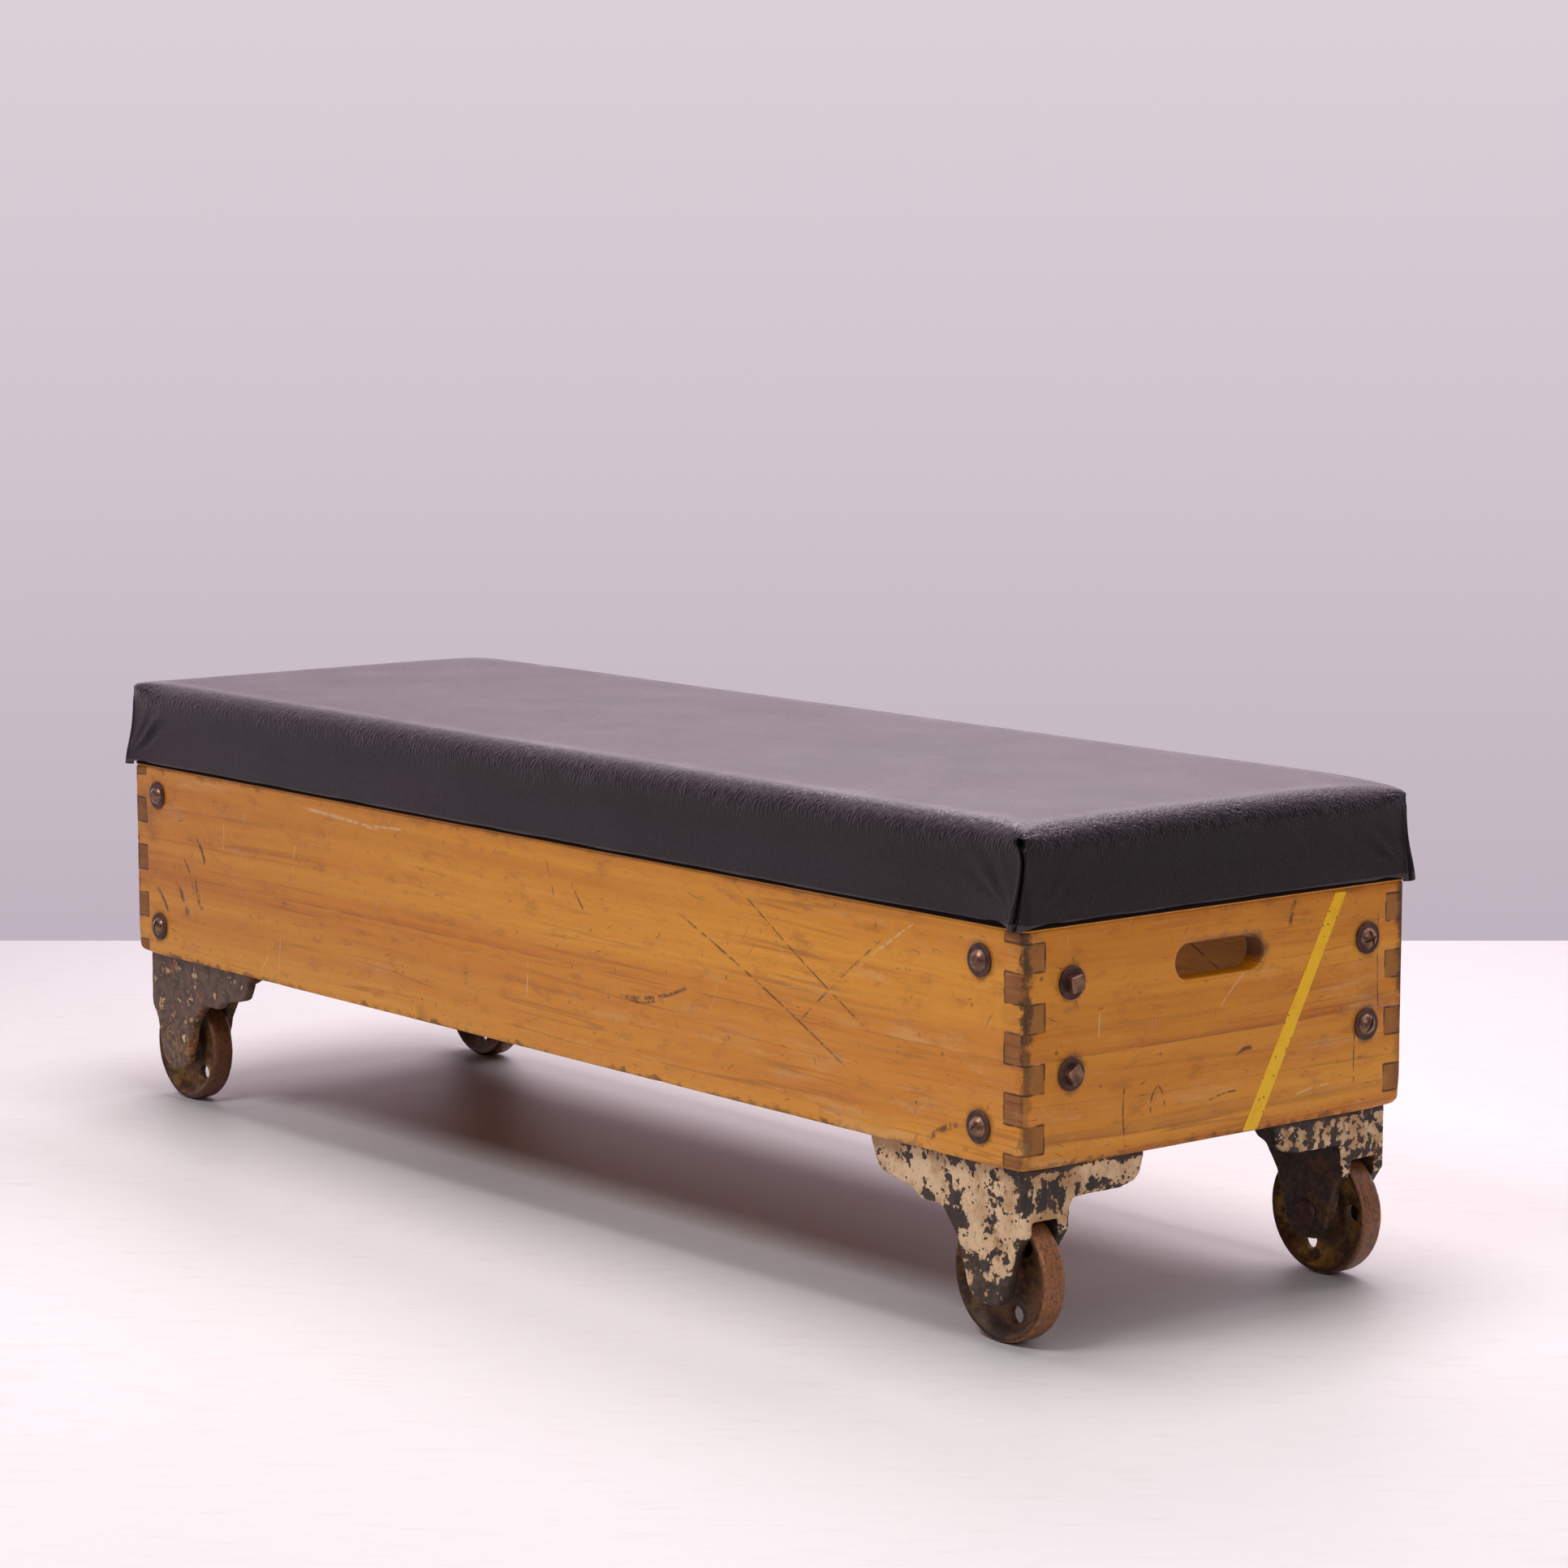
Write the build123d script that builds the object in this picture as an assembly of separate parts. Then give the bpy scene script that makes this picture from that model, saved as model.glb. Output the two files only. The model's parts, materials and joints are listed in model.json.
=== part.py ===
"""Padded gym box section on four fixed iron casters.

Millimetres. +X runs along the box, +Y across it, +Z up. The origin is on the floor, under the middle.
Front is -Y, rear is +Y, left is -X and right is +X.
"""
from build123d import *
import math
import os

# --- driving dimensions -------------------------------------------------------------------------
FRAME_L = 1494.0          # wooden frame, outside, along X
FRAME_W = 480.0           # wooden frame, outside, along Y
FRAME_H = 213.0           # height of the boards
BOARD_T = 25.0            # thickness of the boards
POST = 60.0               # square corner posts inside the frame
CORNER_R = 5.0            # rounding of the frame's upright corners
EDGE_R = 2.5              # rounding of the boards' long outer edges

FINGER_PITCH = 54.0       # box joint: spacing of the fingers
FINGER_H = 26.0           # height of a side board's finger
FINGER_START = 14.7       # lowest side finger above the frame's underside
FINGER_COUNT = 4

SLOT_L = 110.0            # hand slot, length and height of the clear opening
SLOT_H = 32.0
SLOT_Z = 166.0            # slot centre above the frame's underside
SLOT_ROUND = 4.5          # rounded-over edge of the slot

WHEEL_R = 61.0
WHEEL_W = 26.0            # rim width
HUB_R = 18.0
HUB_L = 29.0
WEB_T = 6.0               # thickness of the dished web
RIM_T = 6.5               # radial thickness of the rim
AXLE_R = 8.0
RUNNING_GAP = 0.05        # radial clearance of the bush on the axle
BUSH_R = 11.5             # outside radius of the bush
LIGHTENING_R = 8.0        # holes in the web
LIGHTENING_PCR = 37.0     # radius of the circle they lie on
LIGHTENING_COUNT = 3

INSET = 10.0              # bracket's outer walls stand this far inside the frame's faces
CHEEK_T = 12.0            # thickness of the bracket's cheeks
FORK_GAP = 32.0           # clear width between the cheeks
WALL_T = 11.0             # bracket's end wall
PLATE_T = 8.0             # bracket's top plate
CAST_ROUND = 2.5          # softened edges of the casting's exposed faces
AXLE_U = 57.5             # axle centre in from the frame's end face
AXLE_DROP = 105.5         # axle centre below the frame's underside
THRUST_T = 1.2            # thrust washers beside the hub

BOLT_R = 5.0              # through bolts
BOLT_HOLE_R = 5.5
BOLT_WASHER_R = 15.0
BOLT_WASHER_T = 2.5
HEAD_R = 10.0             # round heads
HEAD_H = 6.0
SQUARE_AF = 15.0          # square heads and nuts, across flats
SQUARE_H = 8.0

LEATHER_T = 2.0
SKIRT_OUT = 4.0           # skirt's face stands this far outside the frame's face
SKIRT_LIFT = 5.5          # skirt's lower edge above the frame's top
HEM_H = 11.0              # height of the hem, which fills the gap between skirt and lid board
LID_T = 18.0
PAD_H = 74.0
PAD_GAP = 0.3             # clearance between the pad and its cover
TOP_ROUND = 14.0          # rounding of the cover's top edge

# --- derived levels -----------------------------------------------------------------------------
BASE_Z = WHEEL_R + AXLE_DROP          # underside of the frame
FRAME_TOP = BASE_Z + FRAME_H
HEM_Z = FRAME_TOP + SKIRT_LIFT        # lower edge of the leather
PAD_Z = FRAME_TOP + LID_T             # top of the lid board
TOP_Z = PAD_Z + PAD_H + LEATHER_T     # top of the cover
HALF_L = FRAME_L / 2
HALF_W = FRAME_W / 2

FORK_V = INSET + CHEEK_T              # inner face of the outer cheek
INNER_V = FORK_V + FORK_GAP           # outer face of the inner cheek
FORK_END_V = INNER_V + CHEEK_T
AXLE_V = FORK_V + FORK_GAP / 2

CORNERS = {
    "front_left": (-1, -1),
    "front_right": (1, -1),
    "rear_left": (-1, 1),
    "rear_right": (1, 1),
}
WHEEL_TURN = {"front_left": -50.0, "front_right": -70.0, "rear_left": 25.0, "rear_right": -117.0}


# --- helpers ------------------------------------------------------------------------------------
def box(x0, x1, y0, y1, z0, z1):
    """A block between two corners."""
    block = Box(x1 - x0, y1 - y0, z1 - z0)
    return Pos((x0 + x1) / 2, (y0 + y1) / 2, (z0 + z1) / 2) * block


def upright(radius, z0, z1, x=0.0, y=0.0):
    """A cylinder along Z."""
    return Pos(x, y, (z0 + z1) / 2) * Cylinder(radius, z1 - z0)


def ring(outer, inner, z0, z1):
    return upright(outer, z0, z1) - upright(inner, z0 - 1, z1 + 1)


def rounded_outline(points):
    """A face from (x, y, corner radius) points; radius 0 leaves the corner sharp."""
    face = make_face(Polyline(*[(x, y) for x, y, _ in points], close=True))
    for x, y, radius in points:
        if radius:
            corner = face.vertices().sort_by_distance((x, y, 0))[0]
            face = fillet(corner, radius)
    return face


def at_corner(shape, corner):
    """Place a shape made for the left front corner (X and Y inward from the faces) at any corner."""
    side_x, side_y = CORNERS[corner]
    placed = Pos(-HALF_L, -HALF_W, BASE_Z) * shape
    if side_x > 0:
        placed = mirror(placed, about=Plane.YZ)
    if side_y > 0:
        placed = mirror(placed, about=Plane.XZ)
    return placed


def save(name, shape):
    solids = shape if isinstance(shape, list) else [shape]
    solids = [solid for item in solids for solid in item.solids()]
    group = solids[0] if len(solids) == 1 else Compound(children=solids)
    group.label = name
    export_step(group, f"parts/{name}.step")


# --- fasteners along local +Z, with the board's outer face at z = 0 ------------------------------
def bolt_shank():
    reach = BOARD_T + POST + BOLT_WASHER_T + SQUARE_H + 5
    shank = upright(BOLT_R, -reach, BOLT_WASHER_T + 0.5)
    return chamfer(shank.edges().sort_by(Axis.Z)[0], 1.0)


def head_slot(angle):
    return Pos(0, 0, BOLT_WASHER_T + HEAD_H - 1.0) * Rot(0, 0, angle) * Box(3 * HEAD_R, 2.4, 4.0)


def round_head(worn=0.6):
    """A shallow dome with a worn flat on top."""
    sphere_r = (HEAD_R**2 + HEAD_H**2) / (2 * HEAD_H)
    dome = Pos(0, 0, BOLT_WASHER_T + HEAD_H - sphere_r) * Sphere(sphere_r)
    keep = upright(HEAD_R, BOLT_WASHER_T, BOLT_WASHER_T + HEAD_H - worn)
    return dome & keep


def plain_bolt():
    return bolt_shank() + round_head(worn=1.2)


def slotted_bolt(angle):
    return bolt_shank() + (round_head() - head_slot(angle))


def crossed_bolt(angle):
    return bolt_shank() + (round_head() - head_slot(angle) - head_slot(angle + 90))


def square_bolt(angle, height=SQUARE_H):
    head = extrude(Rectangle(SQUARE_AF, SQUARE_AF), height)
    head = fillet(head.edges().filter_by(Axis.Z), 2.0)
    head = chamfer(head.edges().group_by(Axis.Z)[-1], 1.2)
    return bolt_shank() + Pos(0, 0, BOLT_WASHER_T) * Rot(0, 0, angle) * head


def washer(z0):
    disc = ring(BOLT_WASHER_R, BOLT_HOLE_R, z0, z0 + BOLT_WASHER_T)
    rims = disc.edges().filter_by(GeomType.CIRCLE)
    return chamfer(rims.filter_by(lambda e: abs(e.radius - BOLT_WASHER_R) < 0.1), 0.6)


def inner_washer():
    return washer(-(BOARD_T + POST + BOLT_WASHER_T))


def nut():
    top = -(BOARD_T + POST + BOLT_WASHER_T)
    block = Pos(0, 0, top - SQUARE_H) * extrude(Rectangle(SQUARE_AF + 2, SQUARE_AF + 2), SQUARE_H)
    block = chamfer(block.edges().filter_by(Axis.Z), 1.5)
    return block - upright(BOLT_R, top - SQUARE_H - 1, top + 1)


# bolts of one long face and one end face: (distance from the left or from the near upright corner
# of that face, height above the frame's underside, bolt)
LONG_FACE = [
    (49.0, 182.0, plain_bolt),
    (49.0, 33.0, lambda: slotted_bolt(80)),
    (FRAME_L - 57.0, 182.0, plain_bolt),
    (FRAME_L - 57.0, 33.0, lambda: slotted_bolt(40)),
]
END_FACE = [
    (56.0, 163.5, lambda: square_bolt(12)),
    (56.0, 82.0, lambda: square_bolt(33, 7.0)),
    (FRAME_W - 50.0, 163.5, lambda: crossed_bolt(20)),
    (FRAME_W - 50.0, 82.0, lambda: slotted_bolt(60)),
]
FACES = {
    "front": (LONG_FACE, 0.0, HALF_W, HALF_L),
    "right_end": (END_FACE, 90.0, HALF_L, HALF_W),
    "rear": (LONG_FACE, 180.0, HALF_W, HALF_L),
    "left_end": (END_FACE, 270.0, HALF_L, HALF_W),
}


def on_face(face, shape, along, height):
    """Stand a shape on an outer face, at a distance along it as seen from outside."""
    _, turn, reach, half_run = FACES[face]
    standing = Pos(along - half_run, -reach, BASE_Z + height) * Rot(90, 0, 0) * shape
    return Rot(0, 0, turn) * standing


def face_set(face, make):
    """One solid for each bolt position of a face; make gets the bolt's own builder."""
    return [on_face(face, make(bolt), along, height) for along, height, bolt in FACES[face][0]]


def all_bolt_holes():
    drill = upright(BOLT_HOLE_R, -(BOARD_T + POST + 5), 5)
    return [hole for face in FACES for hole in face_set(face, lambda _: drill)]


# --- wooden frame -------------------------------------------------------------------------------
def frame_blank():
    """The frame's outer envelope with its corners and edges rounded."""
    blank = box(-HALF_L, HALF_L, -HALF_W, HALF_W, BASE_Z, FRAME_TOP)
    blank = fillet(blank.edges().filter_by(Axis.Z), CORNER_R)
    return fillet(blank.edges().group_by(Axis.Z)[0], EDGE_R)


def finger_levels():
    return [BASE_Z + FINGER_START + FINGER_PITCH * n for n in range(FINGER_COUNT)]


def drilled(board, holes):
    return board - [hole for hole in holes if board.distance_to(hole) < 0.01]


def side_board(side, blank):
    """A long board whose fingers reach the end faces."""
    inner, outer = HALF_W - BOARD_T, HALF_W
    y0, y1 = sorted((side * inner, side * outer))
    board = box(-HALF_L + BOARD_T, HALF_L - BOARD_T, y0, y1, BASE_Z, FRAME_TOP)
    for level in finger_levels():
        board += box(-HALF_L, HALF_L, y0, y1, level, level + FINGER_H)
    return board & blank


def slot_cutter(x):
    """An obround bar along X through an end board."""
    bar = extrude(Plane.YZ * SlotOverall(SLOT_L, SLOT_H), 2 * BOARD_T)
    return Pos(x - BOARD_T, 0, BASE_Z + SLOT_Z) * bar


def end_board(side, blank, side_boards):
    """A short board with the hand slot, filling the gaps between the side fingers."""
    x0, x1 = sorted((side * (HALF_L - BOARD_T), side * HALF_L))
    board = box(x0, x1, -HALF_W, HALF_W, BASE_Z, FRAME_TOP) & blank
    board = board - side_boards
    board = board - slot_cutter((x0 + x1) / 2)
    mouth = [
        edge
        for edge in board.edges()
        if abs(edge.center().Z - BASE_Z - SLOT_Z) < SLOT_H
        and abs(edge.center().Y) < SLOT_L
        and min(abs(edge.center().X - x0), abs(edge.center().X - x1)) < 0.1
        and edge.bounding_box().size.X < 0.1
    ]
    return fillet(mouth, SLOT_ROUND)


def corner_post():
    """A post in the corner, between the frame's underside and its top."""
    post = box(BOARD_T, BOARD_T + POST, BOARD_T, BOARD_T + POST, 0, FRAME_H)
    inner = post.edges().filter_by(Axis.Z).sort_by_distance((BOARD_T + POST, BOARD_T + POST, 0))[0]
    return chamfer(inner, 6.0)


# --- padded lid ---------------------------------------------------------------------------------
def lid_board():
    board = box(-HALF_L, HALF_L, -HALF_W, HALF_W, FRAME_TOP, PAD_Z)
    return fillet(board.edges().filter_by(Axis.Z), CORNER_R)


def lid_battens():
    width, depth, length = 50.0, 22.0, FRAME_W - 100.0
    return [
        box(x - width / 2, x + width / 2, -length / 2, length / 2, FRAME_TOP - depth, FRAME_TOP)
        for x in (-450.0, 0.0, 450.0)
    ]


def cushion_block(half_x, half_y, z0, z1, corner_r, top_r):
    block = box(-half_x, half_x, -half_y, half_y, z0, z1)
    block = fillet(block.edges().filter_by(Axis.Z), corner_r)
    return fillet(block.edges().group_by(Axis.Z)[-1], top_r)


def foam_pad():
    half_x = HALF_L + SKIRT_OUT - LEATHER_T - PAD_GAP
    half_y = HALF_W + SKIRT_OUT - LEATHER_T - PAD_GAP
    top = TOP_Z - LEATHER_T - PAD_GAP
    return cushion_block(half_x, half_y, PAD_Z, top, CORNER_R, TOP_ROUND - LEATHER_T)


def leather_cover():
    """Top and skirt, with a hem that closes the gap to the lid board's edge."""
    half_x, half_y = HALF_L + SKIRT_OUT, HALF_W + SKIRT_OUT
    outer = cushion_block(half_x, half_y, HEM_Z, TOP_Z, CORNER_R + LEATHER_T, TOP_ROUND)
    inner = cushion_block(
        half_x - LEATHER_T,
        half_y - LEATHER_T,
        HEM_Z + HEM_H,
        TOP_Z - LEATHER_T,
        CORNER_R,
        TOP_ROUND - LEATHER_T,
    )
    return outer - inner - lid_board()


def cover_tacks():
    """Tacks through the hem into the lid board's edge, all round."""
    tack = upright(4.0, 0.8, 1.8) + upright(1.2, -12.0, 1.0)
    z = HEM_Z + HEM_H / 2
    long_steps = [-690.0 + n * 1380.0 / 12 for n in range(13)]
    short_steps = [-180.0 + n * 360.0 / 3 for n in range(4)]
    tacks = []
    for turn, reach, steps in (
        (0, HALF_W, long_steps),
        (90, HALF_L, short_steps),
        (180, HALF_W, long_steps),
        (270, HALF_L, short_steps),
    ):
        tacks += [Rot(0, 0, turn) * (Pos(x, -reach, z) * Rot(90, 0, 0) * tack) for x in steps]
    return tacks


def lid_screws():
    """Countersunk screws from the lid board down into the corner posts."""
    inward = BOARD_T + POST - 13.0
    shank = upright(2.5, PAD_Z - 60.0, PAD_Z - 4.0)
    head = Pos(0, 0, PAD_Z - 2.5) * Cone(2.5, 6.0, 5.0)
    screw = shank + head
    return [
        Pos(sx * (HALF_L - inward), sy * (HALF_W - inward), 0) * screw for sx, sy in CORNERS.values()
    ]


# --- caster, made for the left front corner: X and Y inward, z = 0 at the frame's underside ------
BOSS_LOW = -(AXLE_DROP + 24.5)
TONGUE = [                              # the part both cheeks share: end edge and round tongue
    (INSET, 0, 0),
    (INSET, -60, 6),
    (21, -76, 12),
    (36, BOSS_LOW, 22),
    (80, BOSS_LOW, 22),
]
OUTER_CHEEK = TONGUE + [
    (97, -76, 28),
    (120, -50, 12),
    (149, -50, 4),
    (158, -42, 6),
    (206, -32, 13),
    (217, -8, 8),
    (218, 0, 0),
]
INNER_CHEEK = TONGUE + [
    (96, -72, 18),
    (112, -48, 8),
    (124, -43, 4),
    (134, -32, 6),
    (160, -22, 8),
    (168, 0, 0),
]
NOTCH_Z = -49.0
END_WALL = [
    (INSET, 0, 0),
    (INSET, NOTCH_Z, 0),
    (FORK_END_V + 1, NOTCH_Z, 0),
    (FORK_END_V + 1, -33, 9),
    (128, -32, 20),
    (151, -27, 14),
    (157, -6, 5),
    (157, 0, 0),
]
SCREW_SPOTS = [(38.0, AXLE_V), (75.0, AXLE_V), (38.0, 76.0), (75.0, 76.0)]


def cheek(outline, v0, face_v):
    """A cheek plate whose exposed face, at face_v, has softened edges below the frame."""
    plate = Pos(0, v0 + CHEEK_T, 0) * extrude(Plane.XZ * rounded_outline(outline), CHEEK_T)
    soft = [
        edge
        for edge in plate.edges()
        if edge.bounding_box().size.Y < 0.01
        and abs(edge.center().Y - face_v) < 0.01
        and edge.center().Z < -1.0
        and edge.center().X > INSET + 0.1
    ]
    return fillet(soft, CAST_ROUND)


def end_wall():
    profile = Plane.YZ * rounded_outline(END_WALL)
    return Pos(INSET, 0, 0) * extrude(profile, WALL_T)


def top_plate():
    """A plate over the fork with a wing along the end wall."""
    fork_part = rounded_outline(
        [
            (INSET, INSET, 0),
            (216, INSET, 0),
            (216, 26, 4),
            (165, FORK_END_V, 20),
            (95, FORK_END_V, 6),
            (95, 90, 8),
            (45, 90, 20),
            (34, 157, 8),
            (INSET, 157, 0),
        ]
    )
    return Pos(0, 0, -PLATE_T) * extrude(fork_part, PLATE_T)


def caster_bracket():
    """The corner casting: two cheeks, end wall and top plate, bored for the axle and the screws."""
    outer = cheek(OUTER_CHEEK, INSET, INSET)
    inner = cheek(INNER_CHEEK, INNER_V, FORK_END_V)
    envelope = box(INSET, 220, INSET, 165, BOSS_LOW - 5, 0)
    envelope = fillet(envelope.edges().filter_by(Axis.Z).sort_by_distance((INSET, INSET, 0))[0], 3.0)
    body = (outer + inner + end_wall() + top_plate()) & envelope
    bore = Pos(AXLE_U, (FORK_V - 8 + FORK_END_V + 1) / 2, -AXLE_DROP)
    body -= bore * Rot(90, 0, 0) * Cylinder(AXLE_R, FORK_END_V + 1 - FORK_V + 8)
    for u, v in SCREW_SPOTS:
        body -= upright(4.5, -PLATE_T - 1, 1, u, v)
    return body


def bracket_screws():
    """Square-headed coach screws up through the top plate into the post."""
    head = Pos(0, 0, -PLATE_T - 5.5) * extrude(Rectangle(13, 13), 5.5)
    screw = chamfer(head.edges().group_by(Axis.Z)[0], 1.0) + upright(4.0, -PLATE_T - 1, 46.0)
    return [Pos(u, v, 0) * screw for u, v in SCREW_SPOTS]


def across(shape):
    """Turn a shape made along Z so that it lies along Y at the axle."""
    return Pos(AXLE_U, AXLE_V, -AXLE_DROP) * Rot(90, 0, 0) * shape


def caster_axle():
    """A pin let into the outer cheek, with a riveted end on the inner cheek."""
    near, far = FORK_V - 8 - AXLE_V, FORK_END_V - AXLE_V
    pin = upright(AXLE_R, -far - 0.5, -near)
    riveted = upright(13.0, -far - 3.0, -far)
    riveted = chamfer(riveted.edges().group_by(Axis.Z)[0], 2.0)
    return across(pin + riveted)


def thrust_washers():
    edge = FORK_GAP / 2
    low = ring(14.0, AXLE_R + 0.2, -edge, -edge + THRUST_T)
    high = ring(14.0, AXLE_R + 0.2, edge - THRUST_T, edge)
    return [across(low), across(high)]


def wheel_profile():
    """Half section of the wheel: radius along X, distance from the middle along Z."""
    half, web = WHEEL_W / 2, WEB_T / 2
    upper = [
        (BUSH_R, HUB_L / 2, 0),
        (HUB_R, HUB_L / 2, 1.5),
        (HUB_R + 2.5, web + 1.2, 3.0),
        (WHEEL_R - RIM_T - 6.5, web, 6.0),
        (WHEEL_R - RIM_T + 0.5, half - 1.6, 0.8),
        (WHEEL_R - RIM_T + 2.2, half, 0.6),
        (WHEEL_R - 2.2, half, 1.2),
        (WHEEL_R, half - 3.0, 2.0),
    ]
    lower = [(r, -a, radius) for r, a, radius in reversed(upper)]
    return rounded_outline(upper + lower)


def wheel(turn):
    disc = revolve(Plane.XZ * wheel_profile(), Axis.Z)
    for n in range(LIGHTENING_COUNT):
        angle = math.radians(turn + 360.0 * n / LIGHTENING_COUNT)
        x, y = LIGHTENING_PCR * math.cos(angle), LIGHTENING_PCR * math.sin(angle)
        disc -= upright(LIGHTENING_R, -WEB_T * 2, WEB_T * 2, x, y)
    return across(disc)


def hub_bush():
    return across(ring(BUSH_R, AXLE_R + RUNNING_GAP, -HUB_L / 2, HUB_L / 2))


# --- assembly -----------------------------------------------------------------------------------
def save_frame():
    blank = frame_blank()
    sides = {"front": side_board(-1, blank), "rear": side_board(1, blank)}
    ends = {
        "left": end_board(-1, blank, list(sides.values())),
        "right": end_board(1, blank, list(sides.values())),
    }
    holes = all_bolt_holes()
    for name, board in sides.items():
        save(f"{name}_side_board", drilled(board, holes))
    for name, board in ends.items():
        save(f"{name}_end_board", drilled(board, holes))
    for corner in CORNERS:
        save(f"corner_post_{corner}", drilled(at_corner(corner_post(), corner), holes))
    for face in FACES:
        save(f"{face}_bolts", face_set(face, lambda bolt: bolt()))
        save(f"{face}_washers", face_set(face, lambda _: washer(0)))
        save(f"{face}_nuts", face_set(face, lambda _: inner_washer()) + face_set(face, lambda _: nut()))


def save_lid():
    screws = lid_screws()
    save("lid_board", lid_board() - screws)
    save("lid_battens", lid_battens())
    save("foam_pad", foam_pad())
    save("leather_cover", leather_cover())
    save("cover_tacks", cover_tacks())
    save("lid_screws", screws)


def wheel_turn(corner):
    """The wheel's lightening holes, turned in the mirrored frame of its corner."""
    side_x, side_y = CORNERS[corner]
    angle = WHEEL_TURN[corner]
    return 180.0 - angle if side_x > 0 else angle


def save_casters():
    for corner in CORNERS:
        save(f"caster_bracket_{corner}", at_corner(caster_bracket(), corner))
        save(f"bracket_screws_{corner}", [at_corner(s, corner) for s in bracket_screws()])
        save(f"caster_axle_{corner}", at_corner(caster_axle(), corner))
        save(f"thrust_washers_{corner}", [at_corner(s, corner) for s in thrust_washers()])
        save(f"wheel_{corner}", at_corner(wheel(wheel_turn(corner)), corner))
        save(f"hub_bush_{corner}", at_corner(hub_bush(), corner))


os.makedirs("parts", exist_ok=True)
save_frame()
save_lid()
save_casters()
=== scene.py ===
"""Looks for a padded gym box section on four iron casters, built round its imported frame.

Metres, in the frame's own axes: +X runs along the box, +Y to its rear, +Z up, and the floor is z = 0.
"""
import json
import math

import bmesh
import bpy
import numpy as np
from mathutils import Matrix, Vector


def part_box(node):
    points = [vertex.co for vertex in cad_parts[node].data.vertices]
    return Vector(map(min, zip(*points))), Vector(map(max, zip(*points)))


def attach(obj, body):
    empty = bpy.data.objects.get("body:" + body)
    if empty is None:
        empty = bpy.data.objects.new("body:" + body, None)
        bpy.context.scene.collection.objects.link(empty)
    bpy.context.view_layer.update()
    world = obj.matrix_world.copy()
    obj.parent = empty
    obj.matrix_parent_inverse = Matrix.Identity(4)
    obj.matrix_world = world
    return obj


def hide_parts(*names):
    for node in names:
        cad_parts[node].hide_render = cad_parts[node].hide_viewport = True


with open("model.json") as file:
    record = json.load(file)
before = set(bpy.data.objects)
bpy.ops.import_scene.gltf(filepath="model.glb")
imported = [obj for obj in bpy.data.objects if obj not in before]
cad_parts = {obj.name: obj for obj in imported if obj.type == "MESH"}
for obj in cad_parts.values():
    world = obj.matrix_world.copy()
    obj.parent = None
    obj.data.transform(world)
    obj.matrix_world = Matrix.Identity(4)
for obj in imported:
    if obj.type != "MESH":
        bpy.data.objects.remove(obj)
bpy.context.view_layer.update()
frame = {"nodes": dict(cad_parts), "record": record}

MM = 0.001
BOX = "box"
CORNERS = {
    "front_left": (-1, -1),
    "front_right": (1, -1),
    "rear_left": (-1, 1),
    "rear_right": (1, 1),
}

# --- places taken from the frame ------------------------------------------------------------------
side_low, side_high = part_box("front_side_board")
HALF_L = side_high.x
HALF_W = -side_low.y
BOARD_T = side_high.y - side_low.y
WOOD_LOW = side_low.z
WOOD_TOP = side_high.z
WOOD_H = WOOD_TOP - WOOD_LOW
cover_low, cover_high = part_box("leather_cover")
COVER_X = cover_high.x
COVER_Y = cover_high.y
COVER_TOP = cover_high.z
HEM_Z = cover_low.z
LID_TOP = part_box("lid_board")[1].z

slot_mount = next(m for m in frame["record"]["mounts"] if m["name"] == "hand_slot_right")

# --- looks that this script sets ------------------------------------------------------------------
PLANK_JOINT = 0.45 * WOOD_H           # glued joint between the two planks of a side board
SLOT_HALF = 55 * MM                   # the hand slot's half length, end radius and height
SLOT_R = 16 * MM
SLOT_Z = slot_mount["pos_m"][2] - WOOD_LOW
EDGE_GAP = 0.6 * MM                   # eased edge along the box joints
TOP_EDGE_R = 24 * MM                  # rounding of the leather's top edge
LEATHER_T = 2 * MM


# --- numbers --------------------------------------------------------------------------------------
def smoothstep(low, high, value):
    t = np.clip((value - low) / (high - low), 0.0, 1.0)
    return t * t * (3 - 2 * t)


def lattice(ix, iy, iz, seed):
    """A repeatable number from -1 to 1 for each whole-numbered point."""
    h = (ix * 374761393 + iy * 668265263 + iz * 1440662683 + seed * 974634777) & 0xFFFFFFFF
    h = ((h ^ (h >> 13)) * 1274126177) & 0xFFFFFFFF
    return ((h ^ (h >> 16)) & 0xFFFF) / 32767.5 - 1.0


def noise(points, size, seed=0):
    """Smooth noise from -1 to 1 with features of about that size, at each row of points."""
    p = np.asarray(points, float) / np.asarray(size, float)
    cell = np.floor(p).astype(np.int64)
    f = p - cell
    f = f * f * (3 - 2 * f)
    total = np.zeros(len(p))
    for dx in (0, 1):
        for dy in (0, 1):
            for dz in (0, 1):
                corner = np.abs(1 - np.array([dx, dy, dz]) - f).prod(axis=1)
                total += corner * lattice(cell[:, 0] + dx, cell[:, 1] + dy, cell[:, 2] + dz, seed)
    return total


def fractal(points, size, octaves=3, seed=0):
    """Noise with finer and fainter copies of itself added."""
    size = np.asarray(size, float)
    total = sum(noise(points, size / 2**n, seed + n) / 2**n for n in range(octaves))
    return total / (2 - 2 ** (1 - octaves))


def linear(red, green, blue):
    """A colour given as it looks on a screen, 0 to 255, as the shader wants it."""
    def one(c):
        c /= 255
        return c / 12.92 if c <= 0.04045 else ((c + 0.055) / 1.055) ** 2.4

    return (one(red), one(green), one(blue), 1.0)


# --- meshes ---------------------------------------------------------------------------------------
def at_vertices(mesh, what="co"):
    """Each vertex's place, or its normal."""
    flat = np.empty(len(mesh.vertices) * 3)
    mesh.vertices.foreach_get(what, flat)
    return flat.reshape(-1, 3)


def set_points(mesh, points):
    mesh.vertices.foreach_set("co", points.ravel())
    mesh.update()


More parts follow.
